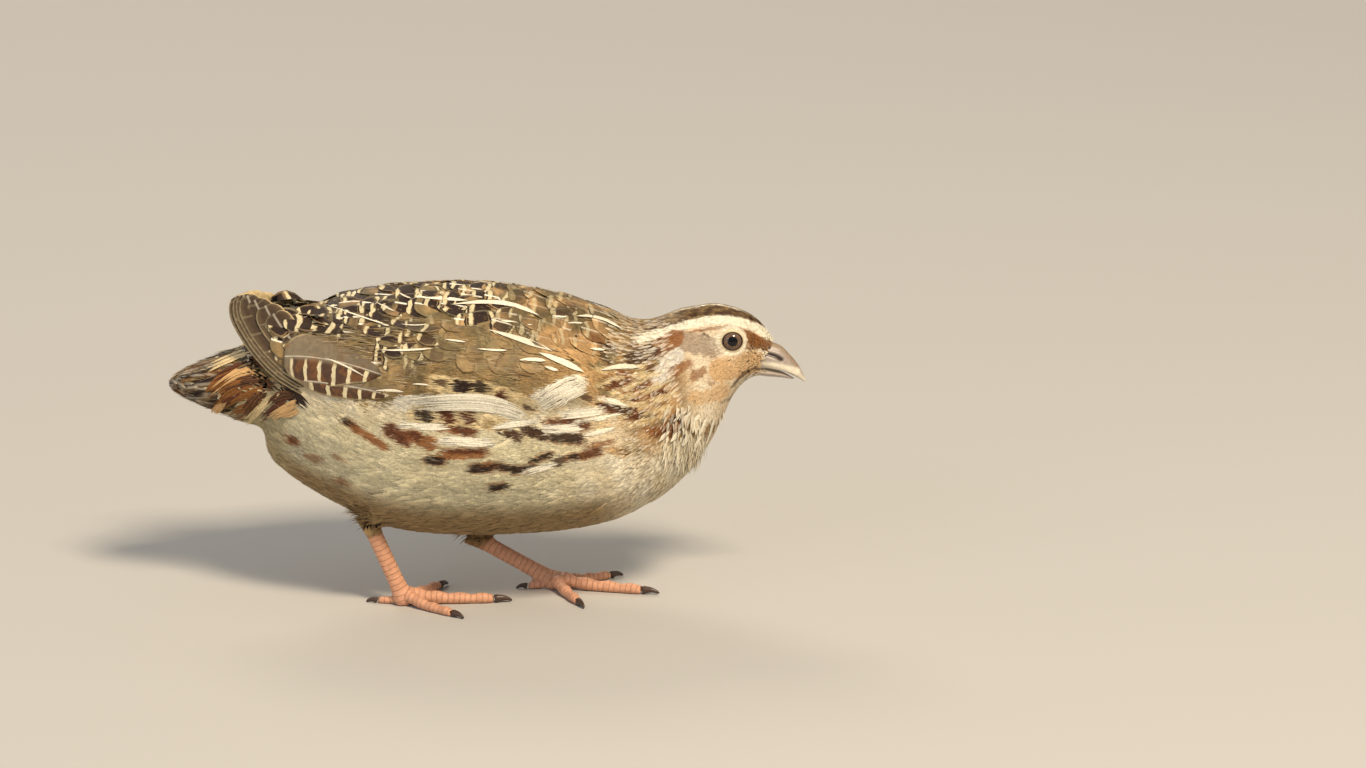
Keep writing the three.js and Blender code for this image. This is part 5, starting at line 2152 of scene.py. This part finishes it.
@dataclass(frozen=True)
class Bill:
    """Horn of the bill: nostril slit, cutting edge and pale tip."""

    nostril: Stroke = Stroke(((80.6, 9.2), (82.6, 7.9), (84.4, 6.8)), 1.1, Tint.UMBER, 0.5, 1.0)
    edge: Stroke = Stroke(((75.0, 4.6), (82.0, 5.0), (88.6, 3.6)), 1.9, Tint.CREAM, 1.0, 0.85)
    tip: Stroke = Stroke(((89.0, 2.6), (91.2, 0.8)), 1.6, Tint.CREAM, 1.2, 0.5)
    ridge: Stroke = Stroke(((83.0, 11.8), (86.4, 8.6), (89.0, 5.4)), 1.8, Tint.SHADE_DOWN, 1.4, 0.6)
    body: str = "A89A8E"

    def build(self, node: str) -> bpy.types.Object:
        """Builds the horn of one half of the bill over its solid.

        Args:
            node: Name of the solid.

        Returns:
            The horn.
        """
        bm = node_mesh((node,), 0.0)
        bmesh.ops.triangulate(bm, faces=[f for f in bm.faces if len(f.verts) > 4])
        bmesh.ops.subdivide_edges(bm, edges=bm.edges[:], cuts=2, smooth=0.6, use_grid_fill=True)
        bmesh.ops.subdivide_edges(bm, edges=bm.edges[:], cuts=1, use_grid_fill=True)
        for _ in range(4):
            bmesh.ops.smooth_vert(
                bm, verts=bm.verts[:], factor=0.5, use_axis_x=True, use_axis_y=True, use_axis_z=True
            )
        bm.normal_update()
        sheet = SideSheet()
        points = np.array([v.co[:] for v in bm.verts]) / MM + [DATUM_SHIFT, 0, 0]
        places = sheet.place(points)
        dent = swell = np.zeros(len(points))
        ahead = points[:, 0] - 77.5
        if "upper" in node:
            dent = self.nostril.mask(places)
            flap = replace(self.nostril, path=tuple((x + 0.5, h + 0.8) for x, h in self.nostril.path))
            swell = flap.mask(places) * (1 - dent)
            ahead = (points - [80.6, 0.0, 70.5]) @ np.array([0.86, 0.0, -0.51])
        for vert, low, high in zip(bm.verts, dent, swell):
            vert.co -= vert.normal * (0.6 * low - 0.2 * high) * MM
        tuck = 1 - smoothstep(-0.3, 3.2, ahead)
        for vert, share in zip(bm.verts, tuck):
            vert.co -= vert.normal * (0.45 * share * MM)
            vert.co.x -= 3.0 * share * share * MM
        bmesh.ops.recalc_face_normals(bm, faces=bm.faces)
        piece = as_object(bm, f"{node}_horn")
        tone = np.broadcast_to(linear(self.body), (len(points), 3))
        for mark in (self.ridge, self.edge, self.tip):
            tone = blend(tone, mark.tint, mark.mask(places))
        # Painted shade: the nostril slit is painted near-black, as its opening lies in shade.
        tone = blend(tone, Tint.BLACK_BROWN, dent * 0.95)
        paint(piece.data, "Tone", tone)
        # Keratin of the bill: grey horn with pale cutting edges and a soft glint.
        piece.data.materials.append(HornFinish(f"{node}_keratin").material())
        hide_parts(node)
        return piece


@dataclass(frozen=True)
class Claws:
    """Dark horn claws, smoothed over their solids."""

    colour: str = "4A372C"

    def build(self) -> bpy.types.Object:
        """Builds all eight claws as one piece.

        Returns:
            The claws.
        """
        nodes = tuple(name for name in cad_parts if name.startswith("claw_"))
        bm = node_mesh(nodes, 0.0)
        bmesh.ops.subdivide_edges(bm, edges=bm.edges[:], cuts=1, smooth=0.5, use_grid_fill=True)
        bmesh.ops.recalc_face_normals(bm, faces=bm.faces)
        piece = as_object(bm, "claw_horn")
        tone = np.broadcast_to(linear(self.colour), (len(piece.data.vertices), 3))
        paint(piece.data, "Tone", tone)
        # Keratin of the claws: darker, so that each claw stands out from its toe.
        piece.data.materials.append(HornFinish("claw_keratin").material())
        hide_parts(*nodes)
        return piece


LAID = (
    # Painted shadow: a dark strip laid under the lower edge of the folded primaries, where the wing shades
    # the flank.
    Lay(Tint.BLACK_BROWN, ((-46.5, -7.5, -53.0, -2.0, -59.5, 4.0, 3.0),), 0.1),
    Lay(Tint.WHITE, ((14.0, -8.2, 0.0, -4.9, -22.0, -5.4, 4.4),), 0.6, 0.34, 0.45),
    Lay(Tint.WHITE, (
        (29.0, 0.5, 23.0, -1.6, 15.5, -6.0, 5.0),
        (31.0, -1.0, 26.0, -2.6, 19.0, -7.0, 3.0),
    ), 0.4, 0.26, 0.9),
    Lay(Tint.OCHRE, (
        (-56.0, -0.7, -64.4, -0.7, -74.7, -5.6, 5.5),
        (-63.9, 5.8, -70.0, 1.6, -76.1, -3.1, 3.0),
        (-59.7, -4.5, -64.4, -6.3, -70.0, -8.2, 2.6),
    ), 0.9, 0.8),
    Lay(Tint.BLACK_BROWN, (
        (-55.1, -1.7, -62.1, 1.1, -71.4, -0.7, 2.0),
        (-57.9, -0.7, -61.6, -3.1, -65.8, -7.5, 2.6),
        (-58.0, 5.5, -61.0, 7.0, -64.0, 7.5, 3.0),
        (-50.4, -3.1, -55.1, -3.5, -57.9, -6.3, 2.2),
    ), 1.2, 0.8, edge=Tint.RUFOUS, margin=0.6),
    Lay(Tint.CHESTNUT, (
        (-62.1, 6.7, -68.1, 4.4, -74.7, 1.1, 1.4),
        (-50.4, -3.1, -56.0, -6.3, -62.3, -10.3, 2.0),
        (-65.3, -0.7, -68.6, -3.1, -72.3, -4.9, 1.6),
    ), 1.2),
    Lay(Tint.PALE_BUFF, (
        (-61.6, 9.1, -68.6, 7.2, -77.0, 2.3, 2.0),
        (-54.1, -2.1, -59.7, -5.4, -65.8, -10.3, 2.2),
    ), 1.3),
    Lay(Tint.BUFF, (
        (-57.9, 1.6, -65.3, 3.5, -75.4, -1.9, 2.6),
        (-49.5, -4.5, -54.1, -7.3, -58.3, -9.6, 2.0),
        (-48.5, -6.3, -51.8, -8.2, -56.0, -9.4, 1.0),
        (-70.0, -3.5, -72.8, -6.3, -74.7, -7.7, 1.6),
    ), 1.3),
    # Painted shade: dark lances in the shade-brown that stand for the shadows between the pale throat
    # hackles.
    Lay(Tint.SHADE_DOWN, strand=9.0, rows=(
        (59.2, -10.5, 58.4, -12.1, 57.2, -13.3, 1.3),
        (61.2, -12.5, 60.0, -13.7, 59.2, -14.7, 1.2),
        (64.0, -10.5, 63.4, -12.9, 62.6, -14.9, 1.1),
        (65.6, -10.9, 65.2, -12.5, 64.8, -13.7, 1.0),
        (61.6, -15.3, 60.8, -16.5, 60.0, -18.1, 1.2),
        (57.2, -12.9, 56.0, -14.5, 55.6, -15.7, 1.1),
    ), layer=0.5),
    Lay(Tint.CREAM, strand=9.0, rows=(
        (59.2, -7.3, 57.2, -9.7, 55.4, -12.5, 1.3),
        (61.2, -8.1, 60.0, -10.5, 59.2, -13.5, 1.3),
        (63.2, -8.9, 62.0, -12.1, 60.0, -15.3, 1.3),
        (65.2, -9.3, 64.4, -12.9, 62.6, -17.1, 1.3),
        (66.8, -8.9, 66.8, -11.7, 66.2, -14.7, 0.9),
        (56.0, -12.9, 54.4, -14.5, 52.8, -15.9, 1.4),
        (58.4, -13.7, 57.2, -15.7, 56.2, -17.1, 1.5),
        (61.6, -14.1, 60.4, -16.5, 59.2, -18.9, 1.4),
        (52.8, -12.9, 51.2, -14.5, 49.4, -15.9, 1.4),
        (57.6, -7.3, 55.6, -8.9, 53.6, -10.5, 1.0),
        (67.6, -7.3, 67.8, -9.7, 67.6, -12.5, 0.8),
    ), layer=0.8),
)


@dataclass(frozen=True)
class FlightFeathers:
    """Folded primaries and tertials of one wing, and the pale accent plumes."""

    plane: tuple = ((-59.8, -10.3, 78.7), (-0.189, -0.877, 0.443))
    fan: tuple = (
        (-41.5, -4.2, -57.8, 8.1, -67.7, 24.2, 8.0),
        (-40.8, -3.5, -57.2, 8.8, -66.4, 24.5, 8.0),
        (-40.1, -3.1, -56.5, 9.4, -65.4, 24.6, 8.0),
        (-39.7, -2.6, -55.7, 10.1, -64.2, 24.4, 8.2),
        (-39.2, -1.9, -54.1, 11.4, -62.1, 23.0, 8.6),
        (-39.0, -1.4, -52.3, 11.2, -59.0, 21.4, 8.6),
        (-38.7, -1.2, -50.4, 10.5, -56.7, 19.1, 8.4),
        (-38.3, -0.7, -46.7, 6.7, -52.5, 13.0, 7.6),
    )
    tertials: tuple = (
        (-23.8, -3.1, -34.5, -0.7, -48.5, 1.1, 7.5),
        (-26.1, 2.5, -40.6, 6.6, -53.4, 7.6, 16.4),
    )
    accents: tuple = (
        ((-24.6, 15.7), (-33.6, 18.8), (-42.6, 21.6), 0.5),
        ((-47.0, 18.5), (-50.4, 17.9), (-53.8, 17.4), 0.5),
        ((-18.5, 23.2), (-21.0, 24.4), (-23.5, 25.8), 0.6),
        ((-24.4, 15.7), (-26.0, 16.2), (-28.6, 17.4), 0.6),
        ((-12.0, 9.5), (-19.6, 9.2), (-26.9, 9.2), 0.7),
        ((-3.1, 11.2), (-6.2, 11.8), (-9.0, 12.0), 0.6),
        ((8.4, 9.0), (4.5, 9.2), (0.0, 9.5), 0.6),
        ((-19.9, -2.0), (-23.8, -1.7), (-28.0, -1.7), 0.8),
        ((-12.9, -0.3), (-15.4, 0.0), (-17.9, 0.0), 0.5),
        ((-14.0, 16.0), (-17.6, 16.0), (-21.3, 16.2), 0.4),
        ((-23.0, 19.6), (-25.5, 21.0), (-28.6, 22.4), 0.5),
        ((16.8, 18.5), (7.0, 22.4), (-7.8, 21.6), 1.7),
        ((-2.8, 22.7), (-9.5, 23.5), (-16.0, 23.5), 1.4),
        ((20.7, 8.7), (12.3, 12.0), (2.8, 14.6), 1.9),
        ((29.1, 3.1), (23.0, 6.2), (16.8, 8.4), 1.8),
        ((19.0, 6.2), (15.4, 6.7), (11.5, 6.4), 1.1),
        ((39.8, 14.8), (33.6, 18.2), (26.9, 18.5), 1.5),
        ((24.6, 18.2), (22.4, 18.5), (20.2, 18.5), 0.7),
        ((35.0, 9.2), (33.0, 9.5), (30.8, 9.5), 0.8),
        ((44.8, 4.5), (39.2, 4.8), (33.6, 3.6), 1.4),
        ((10.1, 16.8), (7.8, 17.1), (6.2, 17.1), 0.5),
        ((15.1, 16.0), (13.4, 16.2), (11.8, 16.5), 0.4),
        ((28.8, 16.5), (26.9, 16.8), (24.4, 16.5), 0.7),
        ((22.4, 3.6), (20.4, 4.2), (18.5, 4.8), 0.8),
        ((-30.2, 1.7), (-39.2, 6.2), (-48.7, 8.7), 0.5),
    )

    def primaries(self) -> list[Quill]:
        """Primaries from the leading one inwards, each overlapping the one before.

        Returns:
            The feathers.
        """
        marks = (0.0, 0.12, 0.3, 0.9)
        return [
            Quill(row[:2], row[2:4], row[4:6], row[6], 1.0 + 0.22 * k, Tint.PRIMARY, marks, base=0.22 * k)
            for k, row in enumerate(self.fan)
        ]

    def inner(self) -> list[Quill]:
        """The large rounded tertials over the folded primaries.

        Returns:
            The feathers.
        """
        marks = (0.95, 1.0, 0.4, 0.35)
        return [
            Quill(row[:2], row[2:4], row[4:6], row[6], 1.0 + 0.3 * k, Tint.TERTIAL, marks, base=0.3)
            for k, row in enumerate(self.tertials)
        ]

    def plumes(self) -> list[Quill]:
        """White and cream lance feathers that stand out over back and shoulder."""
        plain = (0.0, 0.0, 0.0, 0.0)
        return [Quill(r, b, t, w, 0.45, Tint.CREAM, plain, base=0.55) for r, b, t, w in self.accents]

    def build(self, forge: Forge) -> list[bpy.types.Object]:
        """Builds the large feathers of both sides.

        Args:
            forge: Builds the meshes.

        Returns:
            The pieces.
        """
        blade = Vane(Outline.BLADE, stations=13, across=7, thickness=0.10, camber=0.02, sweep=0.1)
        blade = replace(blade, ragged=0.012, root_shade=0.75, own_tone=False, soft_normals=False)
        broad = replace(blade, outline=Outline.ROUND, camber=0.03, fit=True)
        lance = Vane(Outline.SPINDLE, stations=6, across=3, thickness=0.06, camber=0.0, ragged=0.08)
        lance = replace(lance, root_shade=0.97, own_tone=False, clear=0.2)
        # Folded primaries: smooth dark brown with narrow pale bars and a thin buff edge.
        barred = VaneFinish("primary_vane", bar=0.7, rim=0.91).material()
        # Tertials: grey brown, barred and blotched on the lower vane only.
        inner = VaneFinish("tertial_vane", period=4.7, bar=1.1, shaft=0.22, curve=-0.035, reach=4.7)
        inner = replace(inner, start=3.4, lower_only=True, dark=Tint.UMBER).material()
        # One row of scapulars: the black bands that catch the eye over the wing.
        black = VaneFinish("black_barred_vane", period=4.9, bar=1.5, reach=4.2, start=1.0)
        black = replace(black, dark=Tint.NEAR_BLACK).material()
        # Pale lance feathers: soft and bright against the darker back.
        pale = DownFinish("cream_plume").material()
        # Loose spotted feathers behind the wing, with a dark strip of painted shadow under the primaries
        # and dark lances of painted shade between the throat hackles: a little glossier than down.
        marked = DownFinish("marked_plume", roughness=0.7).material()
        full = (1.0, 1.0, 0.0, 0.0)
        row = [Quill((-37.0, 14.0), (-46.0, 16.6), (-54.1, 16.3), 6.4, 0.7, Tint.SAND, full, base=0.3)]
        streaks = [mark for mark in FLANK_MARKS if mark.tint in (Tint.WHITE, Tint.CREAM)]
        white = [lay for lay in LAID if lay.tint is Tint.WHITE] + [mark.lay(0.34, 0.22) for mark in streaks]
        plumes = self.plumes() + [quill for lay in white for quill in lay.quills()]
        blotches_and_painted_shade = [quill for lay in LAID if lay.tint is not Tint.WHITE for quill in lay.quills()]
        kinds = (
            ("primary_fan", self.primaries(), blade, "flight_feathers", barred),
            ("tertial_fan", self.inner(), broad, "flight_feathers", inner),
            ("black_barred", row, replace(broad, clear=0.15, ragged=0.05), "wing_coat", black),
            ("flank_blotches", blotches_and_painted_shade, replace(lance, ragged=0.16), "body_coat", marked),
            ("accent_plumes", plumes, lance, "body_coat", pale),
        )
        made = []
        for side, label in ((-1, "right"), (1, "left")):
            for kind, quills, vane, slot, finish in kinds:
                plane = self.plane if kind == "primary_fan" else None
                vary = 0.12 if vane.outline is Outline.SPINDLE else 0.0
                piece = QuillSet(quills, vane, plane, vary).build(forge, f"{kind}_{label}", side)
                piece.data.materials.append(finish)
                if kind == "primary_fan":
                    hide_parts(f"primaries_{label}")
                made.append(piece)
        return made


@dataclass(frozen=True)
class Studio:
    """Pale floor, soft light and the camera."""

    target: tuple[float, float, float] = (0.05464, 0.0, 0.0615)
    distance: float = 2.0
    elevation: float = math.radians(15.0)
    lens: float = 188.0
    sensor: float = 36.0
    near: float = 0.05
    sky: float = 0.42
    lamps: tuple = (
        ("key", (0.75, -1.35, 1.9), 0.5, 66.0, "FFEDD2"),
        ("fill", (-1.6, -1.8, 0.9), 1.6, 12.0, "E6ECFF"),
        ("rim", (-0.6, 1.6, 1.5), 0.8, 14.0, "FFF2DC"),
    )
    half_floor: float = 4.0
    front: float = -3.0
    back: float = 2.0
    bend: float = 1.2

    def build(self) -> None:
        """Sets the stage."""
        bm = bmesh.new()
        profile = [(self.front, 0.0), (self.back, 0.0)]
        for t in np.linspace(0.1, 1.45, 12):
            profile.append((self.back + self.bend * math.sin(t), self.bend - self.bend * math.cos(t)))
        verts = [bm.verts.new((-self.half_floor, y, z)) for y, z in profile]
        edges = [bm.edges.new(pair) for pair in zip(verts[:-1], verts[1:])]
        spread = bmesh.ops.extrude_edge_only(bm, edges=edges)["geom"]
        far = [item for item in spread if isinstance(item, bmesh.types.BMVert)]
        bmesh.ops.translate(bm, verts=far, vec=(2 * self.half_floor, 0, 0))
        floor = as_object(bm, "floor")
        # Plain paper floor: pale and matt.
        floor.data.materials.append(FloorFinish("pale_floor").material())
        for lamp in self.lamps:
            self._light(*lamp)
        world = bpy.data.worlds.new("soft_sky")
        world.use_nodes = True
        sky = world.node_tree.nodes["Background"]
        sky.inputs[0].default_value = rgba("E6E8EC")
        sky.inputs[1].default_value = self.sky
        bpy.context.scene.world = world
        camera = bpy.data.cameras.new("view")
        camera.lens, camera.sensor_width, camera.clip_start = self.lens, self.sensor, self.near
        holder = bpy.data.objects.new("view", camera)
        bpy.context.scene.collection.objects.link(holder)
        away = Vector((0, -math.cos(self.elevation), math.sin(self.elevation))) * self.distance
        holder.location = Vector(self.target) + away
        holder.rotation_euler = (math.pi / 2 - self.elevation, 0, 0)
        bpy.context.scene.camera = holder
        bpy.context.scene.view_settings.view_transform = "Standard"

    def _light(self, name: str, place: tuple, size: float, watts: float, colour: str) -> None:
        """Adds one square soft light aimed at the bird.

        Args:
            name: Name of the lamp.
            place: Where it hangs, in metres.
            size: Length of its side in metres.
            watts: Its power.
            colour: Its colour as hex.
        """
        lamp = bpy.data.lights.new(name, "AREA")
        lamp.size, lamp.energy, lamp.color = size, watts, tuple(linear(colour))
        holder = bpy.data.objects.new(name, lamp)
        bpy.context.scene.collection.objects.link(holder)
        holder.location = place
        aim = Vector(self.target) - Vector(place)
        holder.rotation_euler = aim.to_track_quat("-Z", "Y").to_euler()


def coat(plumage: Plumage, forge: Forge) -> list[bpy.types.Object]:
    """Grows all tracts of small feathers.

    Args:
        plumage: The coat's lie, depth and colours.
        forge: Builds the meshes.

    Returns:
        The pieces, large tracts in two halves.
    """
    pool = plumage.pool(POOL_SITES)
    near = plumage.pool(MARK_SITES, (EYE_RING, *NECK_MARKS, *FLANK_MARKS, *BAR_MARKS))
    # Soft down: matt, takes its colours from the skin below.
    down = DownFinish("soft_down").material()
    # Scale feathers of back and wing: dark centres, pale bars and shafts.
    scale = VaneFinish("barred_vane").material()
    # Tail: the same, with bars further apart.
    tail = VaneFinish("tail_vane", period=9.0, bar=1.3, shaft=0.5).material()
    pieces = []
    for tract in TRACTS:
        crop = tract.plant(plumage, near if tract.region in (Region.MARKED, Region.LID) else pool)
        halves = {tract.name: np.ones(len(crop.length), bool)}
        if len(crop.length) * tract.vane.triangles > PIECE_TRIANGLES:
            left = crop.sites.points[:, 1] > 0
            halves = {f"{tract.name}_left": left, f"{tract.name}_right": ~left}
        vaned = tail if tract.region is Region.TAIL else scale
        for name, which in halves.items():
            piece = forge.grow(crop.take(which), tract.vane, name)
            piece.data.materials.append(vaned if any(tract.marks) else down)
            if tract.name == "tail_coverts":
                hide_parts("tail")
            pieces.append(piece)
        LOG.info("%s: %d feathers", tract.name, len(crop.length))
    return pieces


def main() -> None:
    """Builds the quail piece by piece."""
    logging.basicConfig(level=logging.INFO, format="%(name)s %(message)s")
    envelope = Envelope()
    LOG.info("envelope %d triangles", len(envelope.triangles))
    plumage = Plumage(envelope, BodyField())
    forge = Forge(plumage)
    pieces = [Skin(plumage).build()]
    pieces += coat(plumage, forge)
    pieces += FlightFeathers().build(forge)
    pieces += [Eye(side).ball() for side in (-1.0, 1.0)]
    pieces += [Bill().build(node) for node in BILL]
    pieces.append(Claws().build())
    for piece in pieces:
        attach(piece, "root")
        LOG.info("%s: %d faces", piece.name, len(piece.data.polygons))
    LOG.info("coat triangles %d", forge.triangles)
    Studio().build()


if __name__ == "__main__":
    main()
